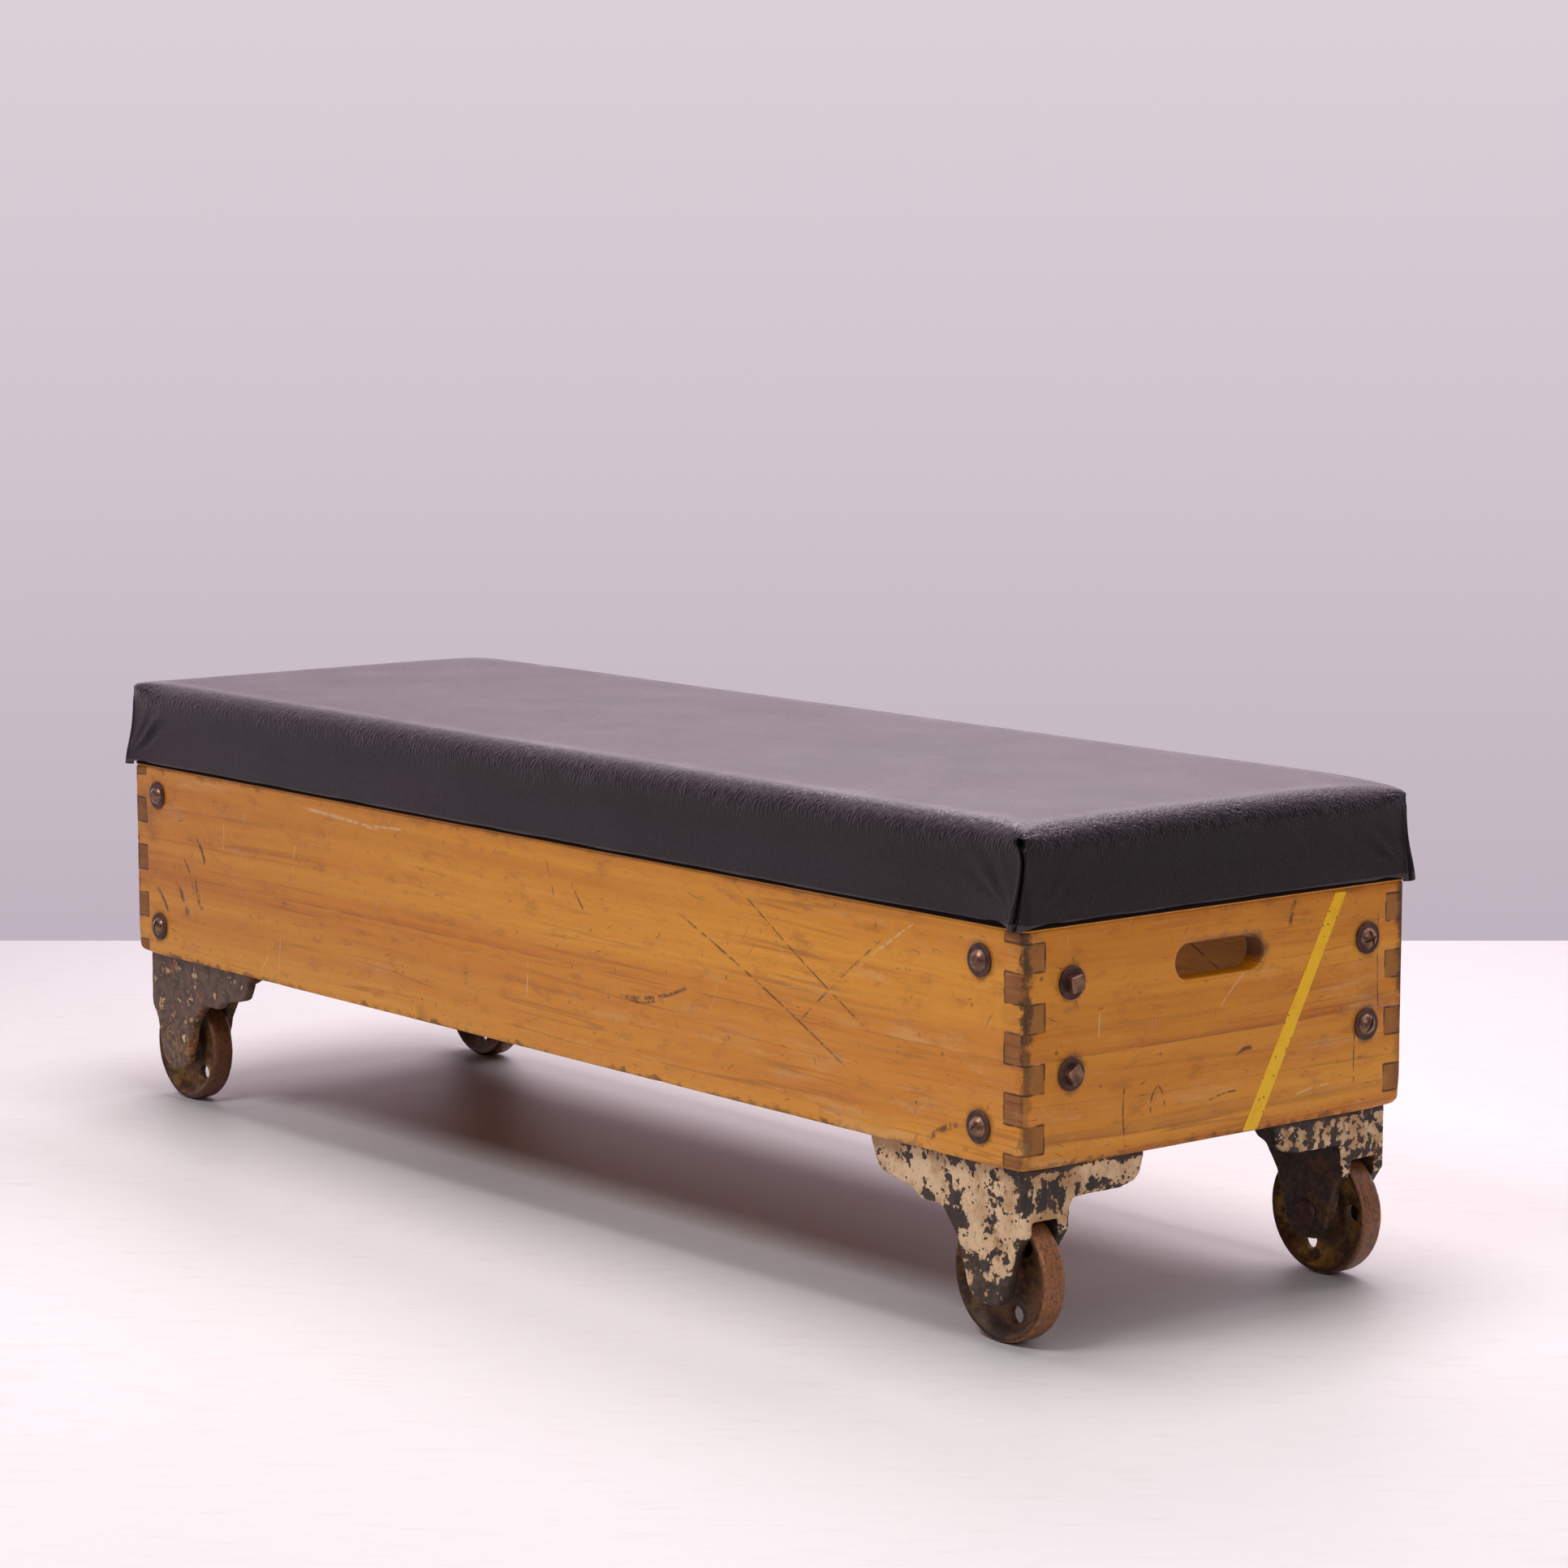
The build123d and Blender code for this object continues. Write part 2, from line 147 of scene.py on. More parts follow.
def welded(node):
    """A clean bmesh of a CAD node, with its triangles joined at their corners."""
    source = frame["nodes"][node].data
    mesh = bpy.data.meshes.new("copy")
    mesh.from_pydata(at_vertices(source), [], [tuple(p.vertices) for p in source.polygons])
    bm = bmesh.new()
    bm.from_mesh(mesh)
    bpy.data.meshes.remove(mesh)
    bmesh.ops.remove_doubles(bm, verts=bm.verts[:], dist=0.01 * MM)
    return bm


def new_piece(name, bm):
    """An object from a bmesh, with its faces turned outwards; the bmesh is used up."""
    bmesh.ops.recalc_face_normals(bm, faces=bm.faces[:])
    mesh = bpy.data.meshes.new(name)
    bm.to_mesh(mesh)
    bm.free()
    piece = bpy.data.objects.new(name, mesh)
    bpy.context.scene.collection.objects.link(piece)
    return piece


def shade(piece, angle=35):
    piece.data.shade_smooth()
    piece.data.set_sharp_from_angle(angle=math.radians(angle))


def apply_modifiers(piece):
    graph = bpy.context.evaluated_depsgraph_get()
    mesh = bpy.data.meshes.new_from_object(piece.evaluated_get(graph))
    old = piece.data
    piece.modifiers.clear()
    piece.data = mesh
    bpy.data.meshes.remove(old)
    mesh.name = piece.name


def remeshed(name, node, voxel):
    """A copy of a CAD node as an even mesh, fine enough to take a cast or worn surface."""
    piece = new_piece(name, welded(node))
    remesh = piece.modifiers.new("remesh", "REMESH")
    remesh.mode = "VOXEL"
    remesh.voxel_size = voxel
    apply_modifiers(piece)
    return piece


def settle(piece, material, body, slot, *nodes):
    """Give a piece its material, the body that it rides on and the CAD nodes that it stands for."""
    piece.data.materials.clear()
    piece.data.materials.append(material)
    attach(piece, body)
    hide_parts(*nodes)


# --- material nodes -------------------------------------------------------------------------------
class Shader:
    """One material's node tree, with short calls for the nodes it is made of."""

    def __init__(self, name):
        self.material = bpy.data.materials.new(name)
        self.material.use_nodes = True
        self.tree = self.material.node_tree
        self.surface = self.tree.nodes["Principled BSDF"]
        self.place = self.add("ShaderNodeTexCoord").outputs["Object"]

    def add(self, kind, inputs=None, **settings):
        node = self.tree.nodes.new(kind)
        for key, value in settings.items():
            setattr(node, key, value)
        for key, value in (inputs or {}).items():
            self.put(node.inputs[key], value)
        return node

    def put(self, socket, value):
        if isinstance(value, bpy.types.NodeSocket):
            self.tree.links.new(value, socket)
        elif value is not None:
            socket.default_value = value

    def set(self, **inputs):
        for key, value in inputs.items():
            self.put(self.surface.inputs[key.replace("_", " ")], value)

    def math(self, operation, *values):
        node = self.add("ShaderNodeMath", operation=operation)
        for socket, value in zip(node.inputs, values):
            self.put(socket, value)
        return node.outputs[0]

    def times(self, first, second):
        return self.math("MULTIPLY", first, second)

    def plus(self, first, second):
        return self.math("ADD", first, second)

    def minus(self, first, second):
        return self.math("SUBTRACT", first, second)

    def size(self, value):
        return self.math("ABSOLUTE", value)

    def xyz(self, vector):
        node = self.add("ShaderNodeSeparateXYZ", {"Vector": vector})
        return node.outputs["X"], node.outputs["Y"], node.outputs["Z"]

    def vector(self, x, y, z):
        return self.add("ShaderNodeCombineXYZ", {"X": x, "Y": y, "Z": z}).outputs[0]

    def mapped(self, vector, scale=(1, 1, 1), turn=(0, 0, 0), shift=(0, 0, 0)):
        turn = [math.radians(t) for t in turn]
        inputs = {"Vector": vector, "Scale": scale, "Rotation": turn, "Location": shift}
        return self.add("ShaderNodeMapping", inputs).outputs[0]

    def noise(self, vector, scale, detail=3.0, roughness=0.5, distortion=0.0):
        inputs = {"Vector": vector, "Scale": scale, "Detail": detail, "Roughness": roughness}
        inputs["Distortion"] = distortion
        return self.add("ShaderNodeTexNoise", inputs).outputs["Fac"]

    def cloud(self, scale, *detail):
        """Noise in the piece's own place."""
        return self.noise(self.place, scale, *detail)

    def cells(self, vector, scale, feature="F1", randomness=1.0):
        inputs = {"Vector": vector, "Scale": scale, "Randomness": randomness}
        return self.add("ShaderNodeTexVoronoi", inputs, feature=feature)

    def rise(self, value, low, high):
        """0 below low, 1 above high and smooth between, or the other way if low is the larger."""
        node = self.add("ShaderNodeMapRange", {"Value": value}, interpolation_type="SMOOTHSTEP")
        turned = low > high
        self.put(node.inputs["From Min"], min(low, high))
        self.put(node.inputs["From Max"], max(low, high))
        self.put(node.inputs["To Min"], 1.0 if turned else 0.0)
        self.put(node.inputs["To Max"], 0.0 if turned else 1.0)
        return node.outputs[0]

    def mix(self, share, first, second, blend="MIX"):
        node = self.add("ShaderNodeMix", data_type="RGBA", blend_type=blend)
        self.put(node.inputs[0], share)
        self.put(node.inputs[6], first)
        self.put(node.inputs[7], second)
        return node.outputs[2]

    def blend(self, share, first, second):
        """The same for plain numbers."""
        node = self.add("ShaderNodeMix", data_type="FLOAT")
        self.put(node.inputs[0], share)
        self.put(node.inputs[2], first)
        self.put(node.inputs[3], second)
        return node.outputs[0]

    def bump(self, height, distance, strength=1.0, under=None):
        inputs = {"Height": height, "Distance": distance, "Strength": strength, "Normal": under}
        return self.add("ShaderNodeBump", inputs).outputs[0]

    def any_of(self, *values):
        total = values[0]
        for value in values[1:]:
            total = self.math("MAXIMUM", total, value)
        return total

    def both(self, *values):
        total = values[0]
        for value in values[1:]:
            total = self.math("MULTIPLY", total, value)
        return total


# --- wood -----------------------------------------------------------------------------------------
AMBER_LIGHT = linear(236, 162, 50)
AMBER = linear(225, 143, 34)
AMBER_DEEP = linear(204, 119, 26)
STREAK = linear(146, 78, 32)
END_GRAIN_DARK = linear(124, 76, 48)
END_GRAIN_PALE = linear(146, 98, 42)
GRIME = linear(52, 33, 26)
SCUFF = linear(232, 190, 138)
ORANGE = linear(240, 150, 18)
FINGER_PITCH = 54 * MM
FINGER_H = 26 * MM
FINGER_START = 14.7 * MM              # height of the lowest side-board finger above the lower edge


def centres(node):
    """The middle of each separate solid in a node."""
    bm = welded(node)
    left = set(bm.verts)
    found = []
    while left:
        front = [left.pop()]
        group = []
        while front:
            vert = front.pop()
            group.append(vert.co.copy())
            for edge in vert.link_edges:
                other = edge.other_vert(vert)
                if other in left:
                    left.remove(other)
                    front.append(other)
        low = [min(co[n] for co in group) for n in range(3)]
        high = [max(co[n] for co in group) for n in range(3)]
        found.append([(a + b) / 2 for a, b in zip(low, high)])
    bm.free()
    return found


def scratches(s, along, height, turn, length, width, share, shift):
    """Short straight marks near one angle: 1 on a mark, 0 elsewhere."""
    face = s.vector(along, height, 0.0)
    swirl = s.add("ShaderNodeTexNoise", {"Vector": face, "Scale": 9.0, "Detail": 1.0}).outputs["Color"]
    bent = s.add("ShaderNodeVectorMath", {0: swirl, 1: (0.09, 0.09, 0.0), 2: face}, operation="MULTIPLY_ADD")
    turned = s.mapped(bent.outputs["Vector"], turn=(0, 0, turn), shift=(shift, shift, 0))
    marks = s.cells(s.mapped(turned, scale=(1 / length, 1 / width, 1)), 1.0)
    lot = s.xyz(marks.outputs["Color"])[0]
    return s.both(s.rise(marks.outputs["Distance"], 0.20, 0.08), s.rise(lot, 1 - share, 1.01 - share))


def stroke(s, along, height, at, level, turn, length, width, bow):
    """One long mark, straight or bowed: 1 on it and 0 elsewhere."""
    cos, sin = math.cos(math.radians(turn)), math.sin(math.radians(turn))
    u = s.minus(along, at * MM)
    v = s.minus(height, level * MM)
    run = s.plus(s.times(u, cos), s.times(v, sin))
    off = s.minus(s.times(v, cos), s.times(u, sin))
    part = s.times(run, 2 / (length * MM))
    bowed = s.times(s.times(part, part), bow * MM)
    off = s.size(s.plus(off, bowed))
    reach = s.rise(s.size(part), 1.0, 0.75)
    return s.both(reach, s.rise(off, width * MM, 0.35 * width * MM))


def joint_lines(s, height, from_edge, gap_shows):
    """Thin dark outlines of the box joint's fingers on one face."""
    level = s.minus(height, FINGER_START - FINGER_PITCH)
    phase = s.math("MODULO", level, FINGER_PITCH)
    to_top = s.size(s.minus(phase, FINGER_H))
    to_next = s.minus(FINGER_PITCH, phase)
    nearest = s.math("MINIMUM", s.math("MINIMUM", phase, to_top), to_next)
    waver = s.times(s.cloud(60.0, 3.0), 2.2 * MM)
    flat = s.both(s.rise(nearest, 1.5 * MM, 0.4 * MM), s.math("LESS_THAN", from_edge, BOARD_T))
    in_finger = s.math("LESS_THAN", phase, FINGER_H)
    shows = s.minus(1.0, in_finger) if gap_shows else in_finger
    off = s.size(s.minus(from_edge, BOARD_T))
    upright = s.both(s.rise(off, 1.5 * MM, 0.4 * MM), shows)
    return s.both(s.any_of(flat, upright), s.rise(waver, 0.7 * MM, 1.3 * MM))


def slot_distance(s, y, height):
    """How far a point of an end board is from the edge of its hand slot."""
    over = s.math("MAXIMUM", s.minus(s.size(y), SLOT_HALF - SLOT_R), 0.0)
    rise = s.minus(height, SLOT_Z)
    squares = s.plus(s.times(over, over), s.times(rise, rise))
    return s.minus(s.math("SQRT", squares), SLOT_R), rise


# bruises and scratches: place along the board and above its lower edge (mm), turn (degrees), length,
# width and bow (mm)
LONG_DARK_MARKS = (
    (-606, 130, -58, 36, 3.8, 4), (-632, 100, -62, 52, 2, 6), (-616, 78, -66, 40, 4.9, -3),
    (-648, 72, -52, 46, 5.5, 3), (-690, 66, -48, 40, 3.2, 2), (220, 82, 12, 120, 2.8, -7),
    (205, 75, 8, 60, 2.3, -4), (640, 22, 26, 50, 4.3, 3), (380, 118, -24, 300, 1.6, 4),
    (440, 150, -30, 240, 1.3, -3), (500, 140, 38, 160, 1.3, 2), (50, 178, -70, 40, 1.9, 0),
    (95, 165, -50, 34, 1.9, 0),
)
LONG_PALE_MARKS = (
    (560, 178, 33, 100, 1.3, 2), (574, 186, 33, 50, 1.4, 0), (-450, 30, 84, 50, 1.1, 0),
    (-480, 20, 50, 24, 1.4, 0), (-330, 197, -3, 160, 2.6, 1), (-240, 196, 2, 60, 1.8, 0),
    (-560, 150, 88, 34, 1, 0), (-420, 140, 80, 40, 1, 3), (10, 70, 86, 40, 1.1, 0),
)
END_DARK_MARKS = (
    (-120, 35, 92, 60, 1.4, 3), (-85, 48, 70, 30, 1.5, 5), (-70, 46, -75, 30, 1.4, 4),
    (4, 40, 8, 40, 1.2, 2), (90, 197, 74, 30, 3.4, 2), (30, 78, 12, 24, 3, 2),
    (175, 60, 88, 70, 1.2, 2), (205, 140, 91, 100, 1, 1),
)
END_PALE_MARKS = (
    (-150, 120, 86, 30, 1, 0), (20, 140, 40, 60, 1, 2), (120, 30, 6, 50, 1.1, 1),
)


def strokes(s, along, height, rows):
    """All the marks of one kind on a board."""
    return s.any_of(*(stroke(s, along, height, *row) for row in rows))


def wood(name, grain_axis, bolts):
    """Varnished boards: grain along an axis, end grain where a face looks along it, and wear."""
    s = Shader(name)
    long_face = grain_axis == "X"
    x, y, z = s.xyz(s.place)
    height = s.minus(z, WOOD_LOW)
    along, through = (x, y) if long_face else (y, x)
    lower_plank = s.math("LESS_THAN", height, PLANK_JOINT)
    plank_shift = s.times(lower_plank, 3.7)
    normal = s.xyz(s.add("ShaderNodeNewGeometry").outputs["Normal"])
    cut_end = s.rise(s.size(normal[0 if long_face else 1]), 0.6, 0.8)

    # growth rings cut by the board's face, drawn out along the grain
    sway = s.noise(s.vector(along, plank_shift, height), 1.7, 2.0)
    bent = s.plus(height, s.times(sway, 0.028))
    grain = s.vector(s.plus(along, plank_shift), through, bent)
    broad = s.noise(s.mapped(grain, scale=(0.7, 22, 22)), 1.0, 3.0, 0.55)
    band = s.noise(s.mapped(grain, scale=(1.6, 150, 150)), 1.0, 4.0, 0.6)
    fibre = s.noise(s.mapped(grain, scale=(14, 1100, 1100)), 1.0, 3.0, 0.6)
    color = s.mix(s.rise(broad, 0.34, 0.66), AMBER_DEEP, AMBER_LIGHT)
    color = s.mix(s.times(s.rise(band, 0.38, 0.62), 0.6), color, AMBER)
    color = s.mix(s.times(s.rise(fibre, 0.42, 0.72), 0.28), color, AMBER_DEEP)
    lines = s.size(s.minus(s.noise(s.mapped(grain, scale=(0.8, 30, 30)), 1.0, 3.0), 0.5))
    lines = s.both(s.rise(lines, 0.016, 0.003), s.rise(s.cloud(4.0, 2.0), 0.42, 0.6))
    color = s.mix(s.times(lines, 0.42), color, STREAK)
    reds = s.noise(s.mapped(grain, scale=(1.0, 46, 46), shift=(3, 0, 1)), 1.0, 4.0, 0.6)
    color = s.mix(s.times(s.rise(reds, 0.56, 0.7), 0.42), color, STREAK)
    pore = s.noise(s.mapped(grain, scale=(70, 2400, 2400)), 1.0, 1.0)
    color = s.mix(s.times(s.rise(pore, 0.62, 0.72), 0.3), color, STREAK)

    mottle = s.noise(s.mapped(grain, scale=(26, 70, 70)), 1.0, 4.0, 0.7)
    color = s.mix(s.times(s.rise(mottle, 0.52, 0.72), 0.36), color, STREAK)
    color = s.mix(s.times(s.rise(mottle, 0.45, 0.28), 0.25), color, AMBER_LIGHT)

    # the glued joint between planks
    off_joint = s.size(s.minus(height, PLANK_JOINT))
    glue = s.both(s.rise(off_joint, 1.3 * MM, 0.3 * MM), s.rise(s.cloud(22.0), 0.35, 0.6))
    color = s.mix(s.times(glue, 0.5), color, STREAK)

    # end grain on the faces that look along the grain
    rings = s.noise(s.mapped(s.place, scale=(9, 9, 420)), 1.0, 2.0, 0.6, 0.6)
    end_color = END_GRAIN_PALE if long_face else END_GRAIN_DARK
    ends = s.mix(s.rise(rings, 0.35, 0.7), end_color, linear(158, 98, 50))
    color = s.mix(s.times(cut_end, 0.85), color, ends)

    # places on the board
    from_end = s.minus(HALF_L, s.size(x))
    from_side = s.minus(HALF_W, s.size(y))
    from_top = s.minus(WOOD_H, height)
    near_corner = s.plus(from_end, from_side)
    rough = s.cloud(75.0, 5.0, 0.65)
    patch = s.cloud(15.0, 3.0, 0.6)
    ragged = s.times(s.minus(rough, 0.5), 34 * MM)

    # dirt: the upright corners, the upper and lower edges, in the joints; painted shadow: a dark ring round
    # each bolt's washer
    upper = s.plus(0.45, s.times(s.rise(height, 0.06, 0.13), 0.55))
    facing_end = s.rise(s.size(normal[0]), 0.6, 0.8)
    worn_back = s.math("DIVIDE", s.plus(near_corner, ragged), s.blend(facing_end, 8 * MM, 14 * MM))
    corner = s.both(s.rise(worn_back, 1.0, 0.2), upper)
    top = s.both(s.rise(s.plus(from_top, ragged), 6 * MM, 0 * MM), s.rise(patch, 0.5, 0.66), 0.5)
    low = s.both(s.rise(s.plus(height, ragged), 6 * MM, 0 * MM), s.rise(patch, 0.36, 0.6))
    haze = s.both(s.rise(near_corner, 70 * MM, 8 * MM), s.rise(patch, 0.46, 0.74), 0.45)
    dirt_and_shade = s.any_of(corner, top, s.times(low, 0.75), haze)
    washer_shadow_rings = 0.0
    # painted shadow: a dark ring just outside each washer
    for centre in bolts:
        if long_face:
            off = s.vector(s.minus(x, centre[0]), 0.0, s.minus(z, centre[2]))
        else:
            off = s.vector(0.0, s.minus(y, centre[1]), s.minus(z, centre[2]))
        reach = s.add("ShaderNodeVectorMath", {0: off}, operation="LENGTH").outputs["Value"]
        worn = s.plus(reach, s.times(ragged, 0.6))
        washer_shadow_rings = s.math("MAXIMUM", washer_shadow_rings, s.rise(worn, 21 * MM, 14 * MM))
    dirt_and_shade = s.any_of(dirt_and_shade, s.times(washer_shadow_rings, 0.5))
    face_edge = from_end if long_face else from_side
    other_edge = from_side if long_face else from_end
    on_face = joint_lines(s, height, face_edge, long_face)
    on_cut_end = joint_lines(s, height, other_edge, not long_face)
    outlines = s.blend(cut_end, on_face, on_cut_end)

    # knocks and scratches
    spots = s.cells(s.place, 55.0)
    lot = s.xyz(spots.outputs["Color"])[1]
    dents = s.both(s.rise(spots.outputs["Distance"], 0.17, 0.05), s.rise(lot, 0.84, 0.88))
    nicks = s.any_of(
        scratches(s, along, height, 80, 20 * MM, 3.0 * MM, 0.07, 0.3),
        scratches(s, along, height, 10, 22 * MM, 3.2 * MM, 0.12, 1.7),
        scratches(s, along, height, -38, 50 * MM, 3.0 * MM, 0.06, 2.9),
    )
    hair = s.any_of(
        scratches(s, along, height, -62, 90 * MM, 2.4 * MM, 0.12, 5.1),
        scratches(s, along, height, 35, 120 * MM, 2.2 * MM, 0.10, 6.3),
        scratches(s, along, height, 86, 50 * MM, 2.4 * MM, 0.12, 8.9),
        scratches(s, along, height, 3, 160 * MM, 2.4 * MM, 0.08, 7.7),
    )
    dark = strokes(s, along, height, LONG_DARK_MARKS if long_face else END_DARK_MARKS)
    pale = strokes(s, along, height, LONG_PALE_MARKS if long_face else END_PALE_MARKS)
    worn_line = s.rise(rough, 0.40, 0.56)
    dark = s.both(dark, worn_line, 0.85)
    pale = s.both(pale, s.rise(rough, 0.42, 0.54))
    cloud = s.noise(s.mapped(grain, scale=(7, 40, 40), shift=(0, 0, 2)), 1.0, 4.0, 0.65)
    cloud = s.both(s.rise(cloud, 0.55, 0.72), s.rise(s.cloud(3.0, 2.0), 0.45, 0.62))
    color = s.mix(s.times(cloud, 0.30), color, SCUFF)
    color = s.mix(s.any_of(s.times(hair, 0.42), s.times(pale, 0.8)), color, SCUFF)
    color = s.mix(s.any_of(s.times(dents, 0.6), s.times(nicks, 0.5)), color, GRIME)
    color = s.mix(dark, color, linear(88, 46, 28))
    color = s.mix(s.times(outlines, 0.85), color, GRIME)
    # dirt, with the painted shadow rings round the washers
    color = s.mix(s.times(dirt_and_shade, 0.88), color, linear(64, 42, 28))
    smear = s.times(s.cloud(26.0, 3.0), 0.22)
    roughness = s.plus(s.plus(0.24, smear), s.times(s.any_of(dirt_and_shade, cut_end), 0.3))

    if not long_face:
        # the hand slot's worn rim: grime above it, thick varnish on its lower lip brightened as a painted
        # highlight
        away, rise = slot_distance(s, y, height)
        ring = s.rise(s.plus(away, s.times(ragged, 0.5)), 8 * MM, -1 * MM)
        above = s.both(ring, s.rise(s.plus(rise, s.times(y, 0.35)), -4 * MM, 12 * MM))
        color = s.mix(s.times(above, 0.7), color, linear(92, 64, 46))
        # painted highlight: the lower lip's orange is brightened to stand for the light from above falling on
        # it
        lip = s.both(s.rise(away, 3.5 * MM, -1 * MM), s.rise(rise, -4 * MM, -12 * MM))
        color = s.mix(s.times(lip, 0.85), color, ORANGE)
        roughness = s.blend(lip, roughness, 0.12)

    s.set(Base_Color=color, Roughness=roughness)
    ridges = s.bump(s.plus(fibre, s.times(band, 0.8)), 0.14 * MM, 0.6)
    marks = s.any_of(nicks, dents, s.times(dark, 0.5), outlines)
    marks = s.plus(marks, s.times(s.any_of(hair, pale), 0.4))
    s.set(Normal=s.bump(s.minus(1.0, marks), 0.6 * MM, 0.9, ridges))
    s.set(IOR=1.42)
    return s.material


def cut_grid(bm, axis, places):
    """Slice a mesh across an axis at each place, so that it can be bent there."""
    normal = [1.0 if n == axis else 0.0 for n in range(3)]
    for place in places:
        everything = bm.verts[:] + bm.edges[:] + bm.faces[:]
        point = [value * place for value in normal]
        bmesh.ops.bisect_plane(bm, geom=everything, plane_co=point, plane_no=normal, dist=0.001 * MM)


def both_ends(limit, steps):
    """Places measured in from both ends of an axis that runs from -limit to limit."""
    return [side * (limit - step * MM) for side in (-1, 1) for step in steps]


CORNER_STEPS = (1.5, 3, 4.5, 6, 8, 10, 12.5, 15, 18, 21)


def worn_frame(points):
    """Round the frame's outer corners and edges unevenly, as years of use do."""
    x, y, z = points.T
    ways = [HALF_L - np.abs(x), HALF_W - np.abs(y)]
    out = np.sign(np.column_stack([x, y, np.ones(len(x))]))
    chips = np.clip(fractal(points, 14 * MM, 3, 5), 0, 1)
    swell = np.clip(fractal(points, 45 * MM, 2, 9), -1, 1)
    moved = points.copy()
    for level, sign in ((z - WOOD_LOW, -1), (WOOD_TOP - z, 1)):
        inward = np.column_stack([*ways, level])
        near = np.exp(-((ways[0] / 0.028) ** 2 + (ways[1] / 0.028) ** 2 + (level / 0.03) ** 2))
        nearer = level < (WOOD_TOP - WOOD_LOW) / 2
        least = 2.2 * MM if sign < 0 else 1.3 * MM
        radius = least + 2.2 * MM * chips + 0.5 * MM * swell + (6 * MM if sign < 0 else 2 * MM) * near
        reach = np.clip(radius[:, None] - inward, 0, None)
        length = np.linalg.norm(reach, axis=1)
        over = length > radius
        scale = np.where(over, radius / np.maximum(length, 1e-9), 1.0)
        step = reach * ((scale - 1) * nearer)[:, None]
        direction = out * np.array([1, 1, sign])
        moved += step * direction
    return moved


def board(name, grain_material):
    bm = welded(name)
    bmesh.ops.dissolve_limit(bm, angle_limit=math.radians(1), verts=bm.verts[:], edges=bm.edges[:])
    sharp = [
        edge
        for edge in bm.edges
        if len(edge.link_faces) == 2
        and edge.calc_face_angle() > math.radians(60)
        and edge.calc_length() > 8 * MM
    ]
    bmesh.ops.bevel(
        bm, geom=sharp, offset=EDGE_GAP, segments=2, profile=0.5, affect="EDGES", clamp_overlap=True
    )
    bmesh.ops.triangulate(bm, faces=bm.faces[:])
    long_board = "side" in name
    if long_board:
        cut_grid(bm, 0, both_ends(HALF_L, CORNER_STEPS) + list(np.arange(-0.72, 0.7201, 0.012)))
        cut_grid(bm, 1, both_ends(HALF_W, (1.5, 3, 4.5, 6, 9)))
    else:
        cut_grid(bm, 1, both_ends(HALF_W, CORNER_STEPS) + list(np.arange(-0.21, 0.2101, 0.012)))
        cut_grid(bm, 0, both_ends(HALF_L, (1.5, 3, 4.5, 6, 9)))
    low_steps = [WOOD_LOW + step * MM for step in CORNER_STEPS]
    top_steps = [WOOD_TOP - step * MM for step in (1.5, 3, 4.5, 6)]
    cut_grid(bm, 2, low_steps + top_steps + list(np.arange(WOOD_LOW + 0.03, WOOD_TOP - 0.01, 0.012)))
    bmesh.ops.triangulate(bm, faces=bm.faces[:])
    piece = new_piece(name + "_worn", bm)
    points = at_vertices(piece.data)
    warp = 0.22 * MM * fractal(points, (0.12, 0.12, 0.03), 2, 3)
    points = worn_frame(points)
    if long_board:
        points[:, 1] += warp
    else:
        points[:, 0] += warp
    set_points(piece.data, points)
    shade(piece, 30)
    settle(piece, grain_material, BOX, "varnished_wood", name)
    return piece


def bare_wood(name, colour, grain):
    s = Shader(name)
    streak = s.noise(s.mapped(s.place, scale=grain), 1.0, 4.0, 0.6)
    blotch = s.cloud(9.0, 3.0)
    color = s.mix(s.rise(streak, 0.3, 0.7), colour, linear(120, 84, 50))
    color = s.mix(s.times(s.rise(blotch, 0.45, 0.75), 0.5), color, GRIME)
    s.set(Base_Color=color, Roughness=0.8, Normal=s.bump(streak, 0.3 * MM, 0.6))
    return s.material


def lid_wood():
    """The lid board: bare underneath, with a varnished edge that is pale at its joint and darkened above it
    with painted shadow under the leather's hem.
    """
    s = Shader("lid_board")
    x, y, z = s.xyz(s.place)
    streak = s.noise(s.mapped(s.place, scale=(5, 60, 260)), 1.0, 4.0, 0.6)
    color = s.mix(s.rise(streak, 0.3, 0.7), linear(150, 112, 66), linear(116, 80, 46))
    from_end = s.minus(HALF_L, s.size(x))
    from_side = s.minus(HALF_W, s.size(y))
    edge = s.rise(s.math("MINIMUM", from_end, from_side), 3 * MM, 1 * MM)
    varnished = s.mix(s.rise(streak, 0.35, 0.65), AMBER_LIGHT, AMBER)
    rough = s.cloud(75.0, 5.0, 0.65)
    pale = s.both(s.rise(z, WOOD_TOP + 1.4 * MM, WOOD_TOP + 0.2 * MM), s.rise(rough, 0.42, 0.58))
    varnished = s.mix(s.times(pale, 0.35), varnished, SCUFF)
    # painted shadow: the edge just under the leather's hem turned near black
    shaded = s.rise(z, WOOD_TOP + 0.4 * MM, WOOD_TOP + 1.6 * MM)
    varnished = s.mix(shaded, varnished, linear(13, 7, 6))
    s.set(Base_Color=s.mix(edge, color, varnished))
    s.set(Roughness=s.blend(s.both(edge, s.minus(1.0, shaded)), 0.9, 0.4))
    s.set(Normal=s.bump(streak, 0.2 * MM, 0.5))
    s.set(IOR=1.25)
    return s.material


# --- yellow stripe on the right end board ----------------------------------------------------------
STRIPE_TOP = (0.1465, 0.1615)         # from and to along Y at its top
STRIPE_FOOT = (0.0300, 0.0486)
STRIPE_RISE = (1.5 * MM, 210 * MM)    # heights of its two ends above the board's lower edge
STRIPE_T = 0.25 * MM


